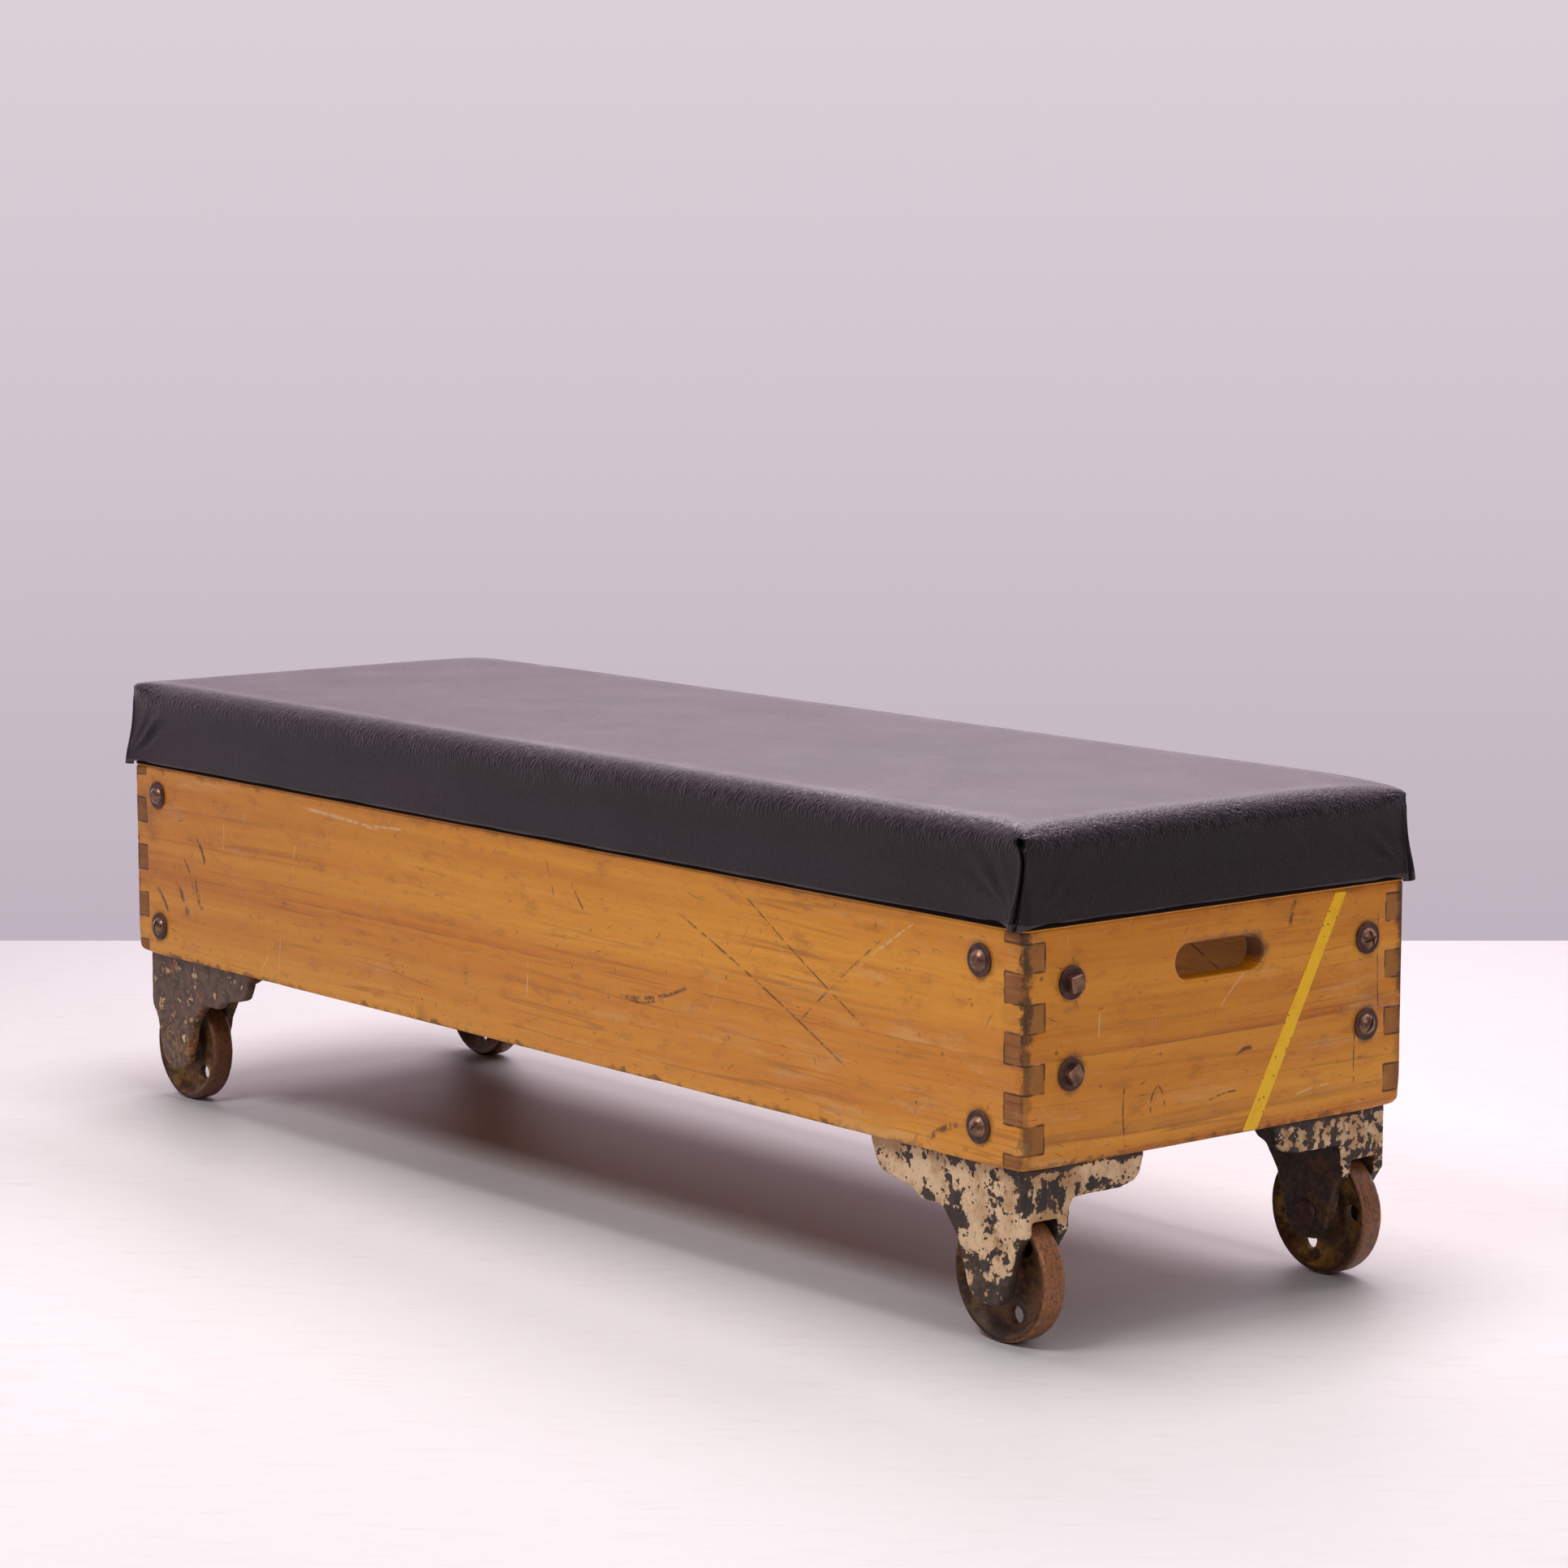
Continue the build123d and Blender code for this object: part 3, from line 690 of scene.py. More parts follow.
def stripe_material():
    s = Shader("yellow_paint")
    dusty = s.cloud(60.0, 4.0, 0.6)
    color = s.mix(s.rise(dusty, 0.45, 0.8), linear(255, 198, 0), linear(244, 178, 2))
    spots = s.cells(s.place, 190.0)
    lot = s.xyz(spots.outputs["Color"])[0]
    specks = s.both(s.rise(spots.outputs["Distance"], 0.3, 0.12), s.rise(lot, 0.86, 0.9))
    color = s.mix(s.times(specks, 0.8), color, linear(110, 70, 24))
    s.set(Base_Color=color, Roughness=0.42, Normal=s.bump(dusty, 0.1 * MM, 0.5))
    return s.material


def stripe():
    """A painted strip with chipped edges: small cells, left out where the paint is gone."""
    rows, columns = 150, 12
    bm = bmesh.new()
    grid = []
    for i in range(rows + 1):
        t = i / rows
        low = STRIPE_FOOT[0] + (STRIPE_TOP[0] - STRIPE_FOOT[0]) * t
        high = STRIPE_FOOT[1] + (STRIPE_TOP[1] - STRIPE_FOOT[1]) * t
        z = WOOD_LOW + STRIPE_RISE[0] + (STRIPE_RISE[1] - STRIPE_RISE[0]) * t
        waver = 0.2 * MM * noise(np.array([[z, 0, 0]]), 6 * MM, 4)[0]
        grid.append([(low + waver + (high - low) * j / columns, z) for j in range(columns + 1)])
    middle = np.array([[[0, *grid[i][j]] for j in range(columns)] for i in range(rows)]).reshape(-1, 3)
    wear = fractal(middle, 7 * MM, 3, 21).reshape(rows, columns)
    edge = np.minimum(np.arange(columns), columns - 1 - np.arange(columns))
    kept = wear < np.where(edge == 0, 0.52, np.where(edge == 1, 0.66, 0.85))[None, :]
    verts = {}

    def vertex(i, j):
        if (i, j) not in verts:
            y, z = grid[i][j]
            verts[i, j] = bm.verts.new((HALF_L + 0.08 * MM, y, z))
        return verts[i, j]

    for i in range(rows):
        for j in range(columns):
            if kept[i, j]:
                bm.faces.new([vertex(i, j), vertex(i, j + 1), vertex(i + 1, j + 1), vertex(i + 1, j)])
    piece = new_piece("yellow_stripe", bm)
    if piece.data.polygons[0].normal.x < 0:
        piece.data.flip_normals()
    thick = piece.modifiers.new("thickness", "SOLIDIFY")
    thick.thickness = STRIPE_T
    thick.offset = 1.0
    apply_modifiers(piece)
    piece.data.materials.append(stripe_material())
    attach(piece, BOX)
    return piece


# --- leather top ----------------------------------------------------------------------------------
CORNER_LINES = (0.7, 1.4, 2.1, 2.8, 3.6, 4.5, 5.5, 6.6, 8, 9.5, 11.5, 14, 17, 20, 24, 28, 33, 38, 44, 51, 60)
# How each corner sits, in mm: how far its top drops and how far in that reaches along the long side and
# the end, and how far the long skirt and the end skirt stand out at the tip. "roll" is the radius of its
# top edge right at the corner, "inset" how far that is drawn in. "pocket" and "seam" are shares: how big
# its pinched pocket is, and how much of SEAM_WAYS its seam follows, to the other side if below 0.
SHAPE_WORDS = ("drop", "long", "end", "long_ear", "end_ear", "pocket", "seam", "roll", "inset")
CORNER_SHAPES = {
    "front_right": (7, 19, 46, 5, 4, 1.0, 1.0, 9, 0),
    "front_left": (3, 16, 14, 5, 10, 0.2, -0.3, 4, 6),
    "rear_right": (10, 30, 46, 6, 1, 0.2, -0.3, 5, 5),
    "rear_left": (6, 26, 30, 5, 5, 0.4, 0.5, 6, 3),
}
# where the seam runs, in mm along the long skirt from the corner, from its top to its tip
SEAM_SHARES = (0.0, 0.12, 0.3, 0.5, 0.75, 1.0)
SEAM_WAYS = (6.0, 6.0, 1.5, 3.5, 8.0, 13.0)


def cover_lines(half, step):
    """Grid lines across the cover: close together near both ends."""
    inner = half - CORNER_LINES[-1] * MM
    count = int(round(2 * inner / step))
    middle = np.linspace(-inner, inner, count + 1)
    ends = np.array([half - c * MM for c in (0, *CORNER_LINES[:-1])])
    return np.concatenate([-ends, middle, ends[::-1]])


def cover_depths():
    """How far below the top each row of the skirt is."""
    deep = COVER_TOP - HEM_Z
    upper = np.arange(1.3, 30, 1.3) * MM
    lower = np.linspace(31.5 * MM, deep, 22)
    return np.concatenate([upper, lower])


def cover_grid():
    """The cover's vertices on a sharp-edged box, its faces, and its rings round the skirt."""
    xs, ys, depths = cover_lines(COVER_X, 6 * MM), cover_lines(COVER_Y, 6 * MM), cover_depths()
    nx, ny = len(xs), len(ys)
    top = [(x, y, COVER_TOP) for y in ys for x in xs]
    faces = []
    for j in range(ny - 1):
        for i in range(nx - 1):
            a = j * nx + i
            faces.append((a, a + 1, a + nx + 1, a + nx))
    loop = [i for i in range(nx)]
    loop += [j * nx + nx - 1 for j in range(1, ny)]
    loop += [(ny - 1) * nx + i for i in range(nx - 2, -1, -1)]
    loop += [j * nx for j in range(ny - 2, 0, -1)]
    rim = [top[n] for n in loop]
    points = list(top)
    rings = [loop]
    for depth in depths:
        start = len(points)
        points += [(x, y, COVER_TOP - depth) for x, y, _ in rim]
        rings.append(list(range(start, start + len(rim))))
    for upper, lower in zip(rings, rings[1:]):
        for k in range(len(rim)):
            n = (k + 1) % len(rim)
            faces.append((upper[k], lower[k], lower[n], upper[n]))
    return np.array(points), faces, rings


def quarter(points, corner):
    side_x, side_y = CORNERS[corner]
    return (side_x * points[:, 0] >= 0) & (side_y * points[:, 1] >= 0)


def by_corner(points, word):
    """One of the corners' measures, times MM, at each point of that corner's quarter."""
    values = np.zeros(len(points))
    for corner, shape in CORNER_SHAPES.items():
        values[quarter(points, corner)] = shape[SHAPE_WORDS.index(word)] * MM
    return values


def slide_seams(points, share):
    """Slide each corner's seam along the skirt, so that it bows and leans as it goes down."""
    moved = points.copy()
    far_x, far_y = COVER_X - np.abs(points[:, 0]), COVER_Y - np.abs(points[:, 1])
    on_long, on_end = far_y < 1e-6, far_x < 1e-6
    way = np.where(on_long & ~on_end, -far_x, far_y)
    path = np.interp(share, SEAM_SHARES, SEAM_WAYS) * by_corner(points, "seam")
    new_way = way - path * np.exp(-np.abs(way) / (20 * MM))
    near = (on_long | on_end) & (share > 0) & (np.abs(way) < 80 * MM)
    side = np.sign(points)
    moved[near, 0] = (side[:, 0] * np.where(new_way < 0, COVER_X + new_way, COVER_X))[near]
    moved[near, 1] = (side[:, 1] * np.where(new_way < 0, COVER_Y, COVER_Y - new_way))[near]
    return moved


def rounded_cover(points):
    """Bend the sharp-edged box over at its top edges, with tighter upright corners."""
    far = np.maximum(COVER_X - np.abs(points[:, 0]), COVER_Y - np.abs(points[:, 1]))
    at_corner = np.exp(-((far / (30 * MM)) ** 2))
    radius = TOP_EDGE_R + (by_corner(points, "roll") - TOP_EDGE_R) * at_corner
    inner = np.array([COVER_X, COVER_Y, COVER_TOP]) - radius[:, None]
    reach = np.abs(points) - inner
    reach[:, 2] = points[:, 2] - inner[:, 2]
    reach = np.clip(reach, 0, None)
    plan = (reach[:, 0] ** 4 + reach[:, 1] ** 4) ** 0.25
    length = np.hypot(plan, reach[:, 2])
    scale = np.where(length > radius, radius / np.maximum(length, 1e-9), 1.0)
    shift = reach * (scale - 1)[:, None]
    sign = np.sign(points)
    sign[:, 2] = 1
    return points + shift * sign


def shape_cover(sharp, depth):
    """The leather as it sits: dropped corners, flared tips, pinched seams, folds and a wavy hem."""
    share = depth / (COVER_TOP - HEM_Z)
    p = rounded_cover(slide_seams(sharp, share))
    far_x, far_y = COVER_X - np.abs(sharp[:, 0]), COVER_Y - np.abs(sharp[:, 1])
    way = np.where(far_y < 1e-6, far_x, far_y)
    on_long = far_y < 1e-6
    skirt = (on_long | (far_x < 1e-6)) & (depth > 0)

    # the way out from the box at each skirt point
    out = np.zeros_like(p)
    out[:, 0] = np.where(far_x < 1e-6, np.sign(sharp[:, 0]), 0)
    out[:, 1] = np.where(on_long, np.sign(sharp[:, 1]), 0)
    turned = np.exp(-((way / (3 * MM)) ** 2))[:, None]
    diagonal = np.sign(sharp) * np.array([1, 1, 0]) / math.sqrt(2)
    out = np.where(skirt[:, None], out * (1 - turned) + diagonal * turned, 0)

    # the top: soft unevenness, with dropped corners
    drop, reach_x, reach_y = (by_corner(sharp, key) for key in ("drop", "long", "end"))
    fall = np.exp(-(((far_x / reach_x) ** 2 + (far_y / reach_y) ** 2) ** 0.62))
    p[:, 2] -= (1 - 0.8 * share) * drop * fall
    drawn_in = by_corner(sharp, "inset") * np.exp(-np.maximum(far_x, far_y) / (26 * MM)) * (1 - share)
    p -= drawn_in[:, None] * diagonal
    inside = np.clip(np.minimum(far_x, far_y) / (40 * MM), 0, 1)
    p[:, 2] += np.clip(1 - 2 * share, 0, 1) * 0.9 * MM * fractal(sharp, 0.17, 2, 31) * (0.3 + 0.7 * inside)

    # the skirts: slack between the corners, out a little at the hem, further out at the tips
    swell = fractal(sharp, (0.11, 0.11, 0.3), 2, 41)
    push = 0.9 * MM * swell * (0.2 + share)
    push -= 1.6 * MM * np.sin(np.pi * np.clip(share, 0, 1)) ** 2
    push += 1.8 * MM * smoothstep(0.55, 1.0, share)
    ears = np.where(on_long, by_corner(sharp, "long_ear"), by_corner(sharp, "end_ear"))
    push += ears * np.exp(-way / (24 * MM)) * share**1.2

    # folds that run down to the tip
    height = (1 - share) * (COVER_TOP - HEM_Z)
    angle = np.arctan2(height, np.maximum(way, 1e-6))
    reach = np.hypot(height, way)
    window = smoothstep(6 * MM, 24 * MM, reach) * smoothstep(110 * MM, 45 * MM, reach)
    wander = 0.10 * noise(sharp, 0.03, 71)
    folds = ((0.70, 1.7, 6.0), (0.52, -1.6, 6.0), (0.40, 0.9, 3.5), (0.86, -0.8, 4.0), (1.08, 0.6, 5.0))
    for lean, amount, width in folds:
        gap = (angle - lean - wander) * reach / (width * MM)
        push += np.where(on_long, 1.0, 0.45) * amount * MM * window * np.exp(-(gap**2))
    p += out * push[:, None]

    # the seam at each corner: two edges pinched in, with a small pocket at the top
    pocket = by_corner(sharp, "pocket") / MM
    hole = pocket * np.exp(-(((depth - 10 * MM) / (5.0 * MM)) ** 4))
    width = 1.5 * MM + 3.4 * MM * hole
    pinch = smoothstep(3 * MM, 7 * MM, depth) * np.exp(-((way / width) ** 2))
    cut = pinch * (6 + 5 * hole) * MM
    lips = (1 - hole) * 0.9 * MM * np.exp(-(((way - 4 * MM) / (1.8 * MM)) ** 2)) * smoothstep(0.1, 0.3, share)
    p += np.where(skirt[:, None], out * lips[:, None] - diagonal * cut[:, None], 0)

    # the hem: long waves, a rise beside each tip, and the tip itself
    hem = 0.4 * MM + 0.8 * MM * noise(sharp, (0.05, 0.05, 1.0), 51)
    hem += 1.1 * MM * noise(sharp, (0.25, 0.25, 1.0), 52)
    hem += 1.8 * MM * np.exp(-(((way - 32 * MM) / (14 * MM)) ** 2))
    hem -= 4.5 * MM * np.exp(-((way / (8 * MM)) ** 1.6))
    p[:, 2] += np.where(skirt, share**3 * hem, 0)
    return p, out, np.where(skirt, pinch, 0)


def leather_top():
    """One closed form: the leather outside, its hem, and an underside that rests on the lid board."""
    sharp, faces, rings = cover_grid()
    depth = COVER_TOP - sharp[:, 2]
    points, out, pinch = shape_cover(sharp, depth)
    rim = rings[-1]
    inward = -out[rim]
    hem_out = points[rim]
    edge = hem_out + inward * LEATHER_T * 0.5 - np.array([0, 0, 0.5 * MM])
    under = hem_out + inward * LEATHER_T + np.array([0, 0, 0.3 * MM])
    lid = sharp[rim].copy()
    lid[:, 0] = np.clip(lid[:, 0], -HALF_L - 0.4 * MM, HALF_L + 0.4 * MM)
    lid[:, 1] = np.clip(lid[:, 1], -HALF_W - 0.4 * MM, HALF_W + 0.4 * MM)
    lid[:, 2] = LID_TOP + 0.2 * MM
    count = len(rim)
    start = len(points)
    points = np.vstack([points, edge, under, lid])
    pinch = np.concatenate([pinch, np.zeros(3 * count)])
    loops = [rim] + [list(range(start + n * count, start + (n + 1) * count)) for n in range(3)]
    for upper, lower in zip(loops, loops[1:]):
        for k in range(count):
            n = (k + 1) % count
            faces.append((upper[k], lower[k], lower[n], upper[n]))
    faces.append(tuple(loops[-1]))
    mesh = bpy.data.meshes.new("leather_top")
    mesh.from_pydata(points, [], faces)
    mesh.attributes.new("pinch", "FLOAT", "POINT").data.foreach_set("value", pinch)
    piece = bpy.data.objects.new("leather_top", mesh)
    bpy.context.scene.collection.objects.link(piece)
    shade(piece, 60)
    settle(piece, leather(), BOX, "black_leather", "leather_cover", "foam_pad")
    return piece


def leather():
    s = Shader("black_leather")
    x, y, z = s.xyz(s.place)
    top_gap = s.math("MAXIMUM", s.minus(COVER_TOP, z), 0.0)
    end_gap = s.minus(COVER_X, s.size(x))
    side_gap = s.minus(COVER_Y, s.size(y))
    lateral = s.math("MAXIMUM", s.math("MINIMUM", end_gap, side_gap), 0.0)
    round_edge = s.plus(top_gap, lateral)
    patchy = s.cloud(24.0, 3.0)
    spread = s.plus(round_edge, s.times(s.minus(patchy, 0.5), 40 * MM))
    drawn_out = s.rise(spread, 46 * MM, 4 * MM)

    # pebbled grain everywhere, drawn into fine creases that run over the top edge
    pebble = s.cells(s.place, 640.0, "DISTANCE_TO_EDGE").outputs["Distance"]
    pebble = s.rise(pebble, 0.0, 0.35)
    fine = s.cloud(1300.0, 2.0)
    waver = s.times(s.minus(s.cloud(60.0, 2.0), 0.5), 10 * MM)
    by_long_side = s.math("LESS_THAN", side_gap, end_gap)
    round_way = s.plus(s.blend(by_long_side, y, x), waver)
    over_way = s.minus(s.blend(by_long_side, end_gap, side_gap), top_gap)
    lean = s.times(top_gap, s.blend(by_long_side, -0.5, 0.25))
    across = s.times(s.plus(round_way, lean), 1 / (3.0 * MM))
    drawn = s.vector(across, s.math("DIVIDE", over_way, s.blend(by_long_side, 7 * MM, 13 * MM)), 0.0)
    creases = s.rise(s.cells(drawn, 1.0, "DISTANCE_TO_EDGE").outputs["Distance"], 0.0, 0.34)
    grain = s.plus(s.times(pebble, 0.7), s.times(fine, 0.3))
    height = s.blend(drawn_out, s.times(grain, 0.5), creases)

    blotch = s.cloud(7.0, 3.0, 0.55)
    color = s.mix(s.rise(blotch, 0.3, 0.7), linear(16, 9, 13), linear(24, 13, 19))
    dust = s.both(s.rise(s.cloud(34.0, 4.0, 0.65), 0.55, 0.8), s.rise(z, COVER_TOP - 0.02, COVER_TOP))
    color = s.mix(s.times(dust, 0.12), color, linear(140, 122, 124))
    scuffs = s.both(
        s.rise(s.noise(s.mapped(s.place, scale=(60, 60, 240)), 1.0, 4.0, 0.7), 0.60, 0.72),
        s.rise(s.cloud(11.0, 2.0), 0.5, 0.65),
    )
    color = s.mix(s.times(scuffs, 0.14), color, linear(112, 96, 100))
    hem_way = s.minus(z, HEM_Z)
    frayed = s.times(s.cloud(500.0, 2.0), 2.4 * MM)
    hem = s.rise(s.minus(hem_way, frayed), 1.2 * MM, 0.0)
    color = s.mix(s.times(hem, 0.30), color, linear(112, 98, 100))
    pinch = s.add("ShaderNodeAttribute", attribute_name="pinch").outputs["Fac"]
    # painted shade: the pinched seams and corner pockets darkened to near black
    color = s.mix(s.rise(pinch, 0.25, 0.8), color, linear(9, 7, 8))
    s.set(Base_Color=color)
    rough = s.plus(0.36, s.times(s.cloud(11.0, 4.0), 0.12))
    rough = s.minus(rough, s.times(drawn_out, 0.10))
    rough = s.plus(rough, s.times(s.rise(pinch, 0.1, 0.6), 0.4))
    s.set(Roughness=rough)
    s.set(Normal=s.bump(height, 0.62 * MM, 1.0))
    s.set(IOR=1.34)
    return s.material


# --- iron -----------------------------------------------------------------------------------------
CREAM = linear(238, 204, 162)
CREAM_DIRTY = linear(190, 146, 98)
OLD_PAINT = linear(74, 56, 44)
IRON = linear(50, 36, 28)
RUST = linear(134, 80, 42)
RUST_DARK = linear(72, 44, 28)
OCHRE = linear(132, 100, 56)
# For each caster: how much of its outside and its inside still has cream paint, the size of the flakes
# as a noise scale, how rusty the bare iron is, how far its bare iron is brightened or darkened as painted
# light and shade, and how far below the wood (in mm) the cream gives out.
PAINT = {
    "front_left": (0.02, 0.02, 60.0, 0.55, 2.2, 70),
    "front_right": (0.68, 0.12, 34.0, 0.30, 0.75, 70),
    "rear_left": (0.35, 0.10, 44.0, 0.50, 1.0, 60),
    "rear_right": (0.50, 0.0, 90.0, 0.75, 0.55, 24),
}


def painted_iron(corner, number):
    """Cast iron under an old dark coat, with a flaking cream one over it on the outer faces."""
    outside, inside, flakes, rust, painted_light_level, bare_from = PAINT[corner]
    low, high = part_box(f"caster_bracket_{corner}")
    outer_x, outer_y = max(abs(low.x), abs(high.x)), max(abs(low.y), abs(high.y))
    s = Shader(f"painted_iron_{corner}")
    x, y, z = s.xyz(s.place)
    place = s.mapped(s.place, shift=(0.31 * number, 0.17 * number, 0.05))
    base = s.noise(place, 60.0, 5.0, 0.6, 0.4)
    small = s.noise(place, 170.0, 4.0, 0.62)
    big = s.noise(place, flakes, 6.0, 0.62)

    # where the cream is left: on the outer faces, less at the top edge and down at the wheel
    end_skin = s.rise(s.size(x), outer_x - 5 * MM, outer_x - 2 * MM)
    side_skin = s.rise(s.size(y), outer_y - 5 * MM, outer_y - 2 * MM)
    skin = s.math("MAXIMUM", end_skin, side_skin)
    level_out = 0.5 - 0.16 * (outside - 0.5)
    level_in = 0.5 - 0.16 * (inside - 0.5) + 0.06
    level = s.blend(skin, level_in, level_out)
    near_wood = s.rise(z, WOOD_LOW - 9 * MM, WOOD_LOW - 2 * MM)
    at_wheel = s.rise(z, WOOD_LOW - bare_from * MM, WOOD_LOW - (bare_from + 30) * MM)
    upright = s.plus(s.minus(outer_x, s.size(x)), s.minus(outer_y, s.size(y)))
    at_corner = s.rise(upright, 7 * MM, 2 * MM)
    end_wall = s.both(end_skin, s.rise(s.size(y), outer_y - 66 * MM, outer_y - 54 * MM))
    level = s.plus(level, s.times(near_wood, s.blend(end_skin, 0.03, 0.12)))
    level = s.minus(level, s.times(end_wall, 0.03))
    level = s.plus(level, s.times(at_wheel, 0.045))
    level = s.plus(level, s.times(at_corner, 0.04))
    flake = s.plus(s.times(big, 0.78), s.times(small, 0.22))
    over = s.minus(flake, level)
    chips = s.cells(place, 95.0)
    lot = s.xyz(chips.outputs["Color"])[0]
    spots = s.both(s.rise(chips.outputs["Distance"], 0.26, 0.20), s.rise(lot, 0.86, 0.87), skin)
    holes = s.cells(place, 210.0)
    hole_lot = s.xyz(holes.outputs["Color"])[0]
    pocks = s.both(s.rise(holes.outputs["Distance"], 0.30, 0.22), s.rise(hole_lot, 0.84, 0.86))
    cream = s.math("MAXIMUM", s.rise(over, 0.0, 0.005), spots)
    cream = s.both(cream, s.minus(1.0, pocks))

    # bare and old-painted iron
    color = s.mix(s.rise(base, 0.38, 0.6), OLD_PAINT, IRON)
    rusty = s.rise(s.noise(place, 34.0, 5.0, 0.68), 0.66 - 0.22 * rust, 0.74 - 0.22 * rust)
    rust_color = s.mix(s.rise(small, 0.35, 0.65), RUST_DARK, RUST)
    color = s.mix(s.times(rusty, 0.8), color, rust_color)
    damp = s.both(s.rise(z, WOOD_LOW - 40 * MM, WOOD_LOW - 105 * MM), s.rise(small, 0.46, 0.62))
    color = s.mix(s.times(damp, 0.5 * rust + 0.2), color, OCHRE)
    # painted light and shade: the bare iron brightened on the well-lit casters and darkened on the shaded
    # ones
    color = s.mix(1.0, color, (painted_light_level, painted_light_level, painted_light_level, 1.0), "MULTIPLY")

    # the cream coat, dirtier at its edges
    grime = s.noise(place, 22.0, 4.0, 0.62)
    paint = s.mix(s.rise(grime, 0.38, 0.62), CREAM, CREAM_DIRTY)
    paint = s.mix(s.times(s.rise(over, 0.022, 0.0), 0.5), paint, CREAM_DIRTY)
    stain = s.rise(s.noise(place, 260.0, 3.0), 0.56, 0.70)
    paint = s.mix(s.times(stain, 0.4), paint, RUST)
    soaked = s.rise(s.noise(s.mapped(place, shift=(4, 2, 1)), 26.0, 5.0, 0.7), 0.52, 0.68)
    paint = s.mix(s.times(soaked, 0.6), paint, linear(176, 116, 56))
    s.set(Base_Color=s.mix(cream, color, paint))
    bare_rough = s.plus(0.42, s.times(base, 0.3))
    s.set(Roughness=s.blend(cream, bare_rough, 0.48))
    pits = s.bump(s.plus(base, s.times(small, 0.5)), 0.8 * MM, 0.7)
    s.set(Normal=s.bump(cream, 0.5 * MM, 1.0, pits))
    return s.material


# the colour of the dust in each wheel's dish, how much there is, how much black grease, and how
# bright the tread is
DUST = {
    "front_left": (linear(182, 136, 66), 0.95, 0.2, 0.9),
    "front_right": (linear(124, 86, 44), 0.75, 0.85, 1.65),
    "rear_left": (linear(136, 100, 54), 0.75, 0.6, 1.0),
    "rear_right": (linear(200, 150, 76), 0.95, 0.45, 1.15),
}


def rusty_wheel(corner):
    """Brown iron, lighter and smoother on the tread, with ochre dust lying in the dish."""
    dust, dusty_share, grease, bright = DUST[corner]
    low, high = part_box(f"wheel_{corner}")
    middle = (low + high) / 2
    rim = (high.z - low.z) / 2
    s = Shader(f"rusty_iron_{corner}")
    x, _, z = s.xyz(s.place)
    off = s.vector(s.minus(x, middle.x), 0.0, s.minus(z, middle.z))
    radius = s.add("ShaderNodeVectorMath", {0: off}, operation="LENGTH").outputs["Value"]
    coarse = s.cloud(30.0, 5.0, 0.62)
    fine = s.cloud(240.0, 4.0, 0.65)
    color = s.mix(s.rise(coarse, 0.38, 0.62), linear(58, 38, 26), linear(98, 62, 36))
    color = s.mix(s.times(s.rise(fine, 0.5, 0.66), 0.45), color, linear(140, 92, 50))
    dish = s.both(s.rise(radius, 0.42 * rim, 0.66 * rim), s.rise(radius, 0.94 * rim, 0.86 * rim))
    dusty = s.both(dish, s.rise(s.cloud(44.0, 4.0, 0.6), 0.42, 0.60))
    color = s.mix(s.times(dusty, dusty_share), color, dust)
    tread = s.rise(radius, 0.955 * rim, 0.975 * rim)
    worn = s.mix(s.rise(fine, 0.42, 0.62), linear(138, 88, 50), linear(92, 60, 40))
    worn = s.mix(1.0, worn, (bright, bright, bright, 1.0), "MULTIPLY")
    color = s.mix(s.times(tread, 0.85), color, worn)
    greasy = s.both(s.rise(s.cloud(22.0, 4.0, 0.6), 0.52, 0.60), s.minus(1.0, tread))
    color = s.mix(s.times(greasy, grease), color, linear(32, 20, 15))
    specks = s.rise(s.cloud(420.0, 2.0), 0.68, 0.74)
    color = s.mix(s.times(specks, 0.5), color, linear(178, 142, 104))
    color = s.mix(s.times(s.rise(fine, 0.42, 0.3), 0.6), color, linear(34, 23, 18))
    s.set(Base_Color=color)
    s.set(Roughness=s.blend(tread, s.plus(0.5, s.times(coarse, 0.3)), 0.42))
    s.set(Normal=s.bump(s.plus(coarse, s.times(fine, 0.6)), 0.8 * MM, 0.7))
    s.set(Metallic=0.2)
    return s.material


def browned_steel(name, base, worn, dark, metal, gloss):
    s = Shader(name)
    coarse = s.cloud(110.0, 4.0, 0.6)
    fine = s.cloud(600.0, 3.0, 0.6)
    color = s.mix(s.rise(coarse, 0.38, 0.62), base, worn)
    color = s.mix(s.times(s.rise(fine, 0.55, 0.7), 0.5), color, dark)
    s.set(Base_Color=color, Roughness=s.plus(gloss, s.times(coarse, 0.22)))
    s.set(Normal=s.bump(s.plus(coarse, s.times(fine, 0.5)), 0.2 * MM, 0.5))
    s.set(Metallic=metal)
    return s.material


def cast_surface(piece, pit, lump, seed):
    """Pits and lumps of a rough casting."""
    smooth = piece.modifiers.new("smooth", "SMOOTH")
    smooth.iterations = 3
    smooth.factor = 0.5
    apply_modifiers(piece)
    points, normals = at_vertices(piece.data), at_vertices(piece.data, "normal")
    lumps = fractal(points, 16 * MM, 3, seed) * lump
    pits = -np.clip(fractal(points, 4.5 * MM, 2, seed + 7) - 0.25, 0, 1) * pit
    set_points(piece.data, points + normals * (lumps + pits)[:, None])


def brackets():
    for n, corner in enumerate(CORNERS):
        node = f"caster_bracket_{corner}"
        piece = remeshed(node + "_cast", node, 1.9 * MM)
        cast_surface(piece, 0.9 * MM, 0.5 * MM, 60 + n)
        shade(piece, 70)
        settle(piece, painted_iron(corner, n), BOX, "painted_iron", node)


def wheels():
    for n, corner in enumerate(CORNERS):
        node = f"wheel_{corner}"
        piece = remeshed(node + "_cast", node, 1.4 * MM)
        cast_surface(piece, 0.7 * MM, 0.3 * MM, 80 + n)
        shade(piece, 70)
        settle(piece, rusty_wheel(corner), f"rolling_wheel_{corner}", "rusty_iron", node)


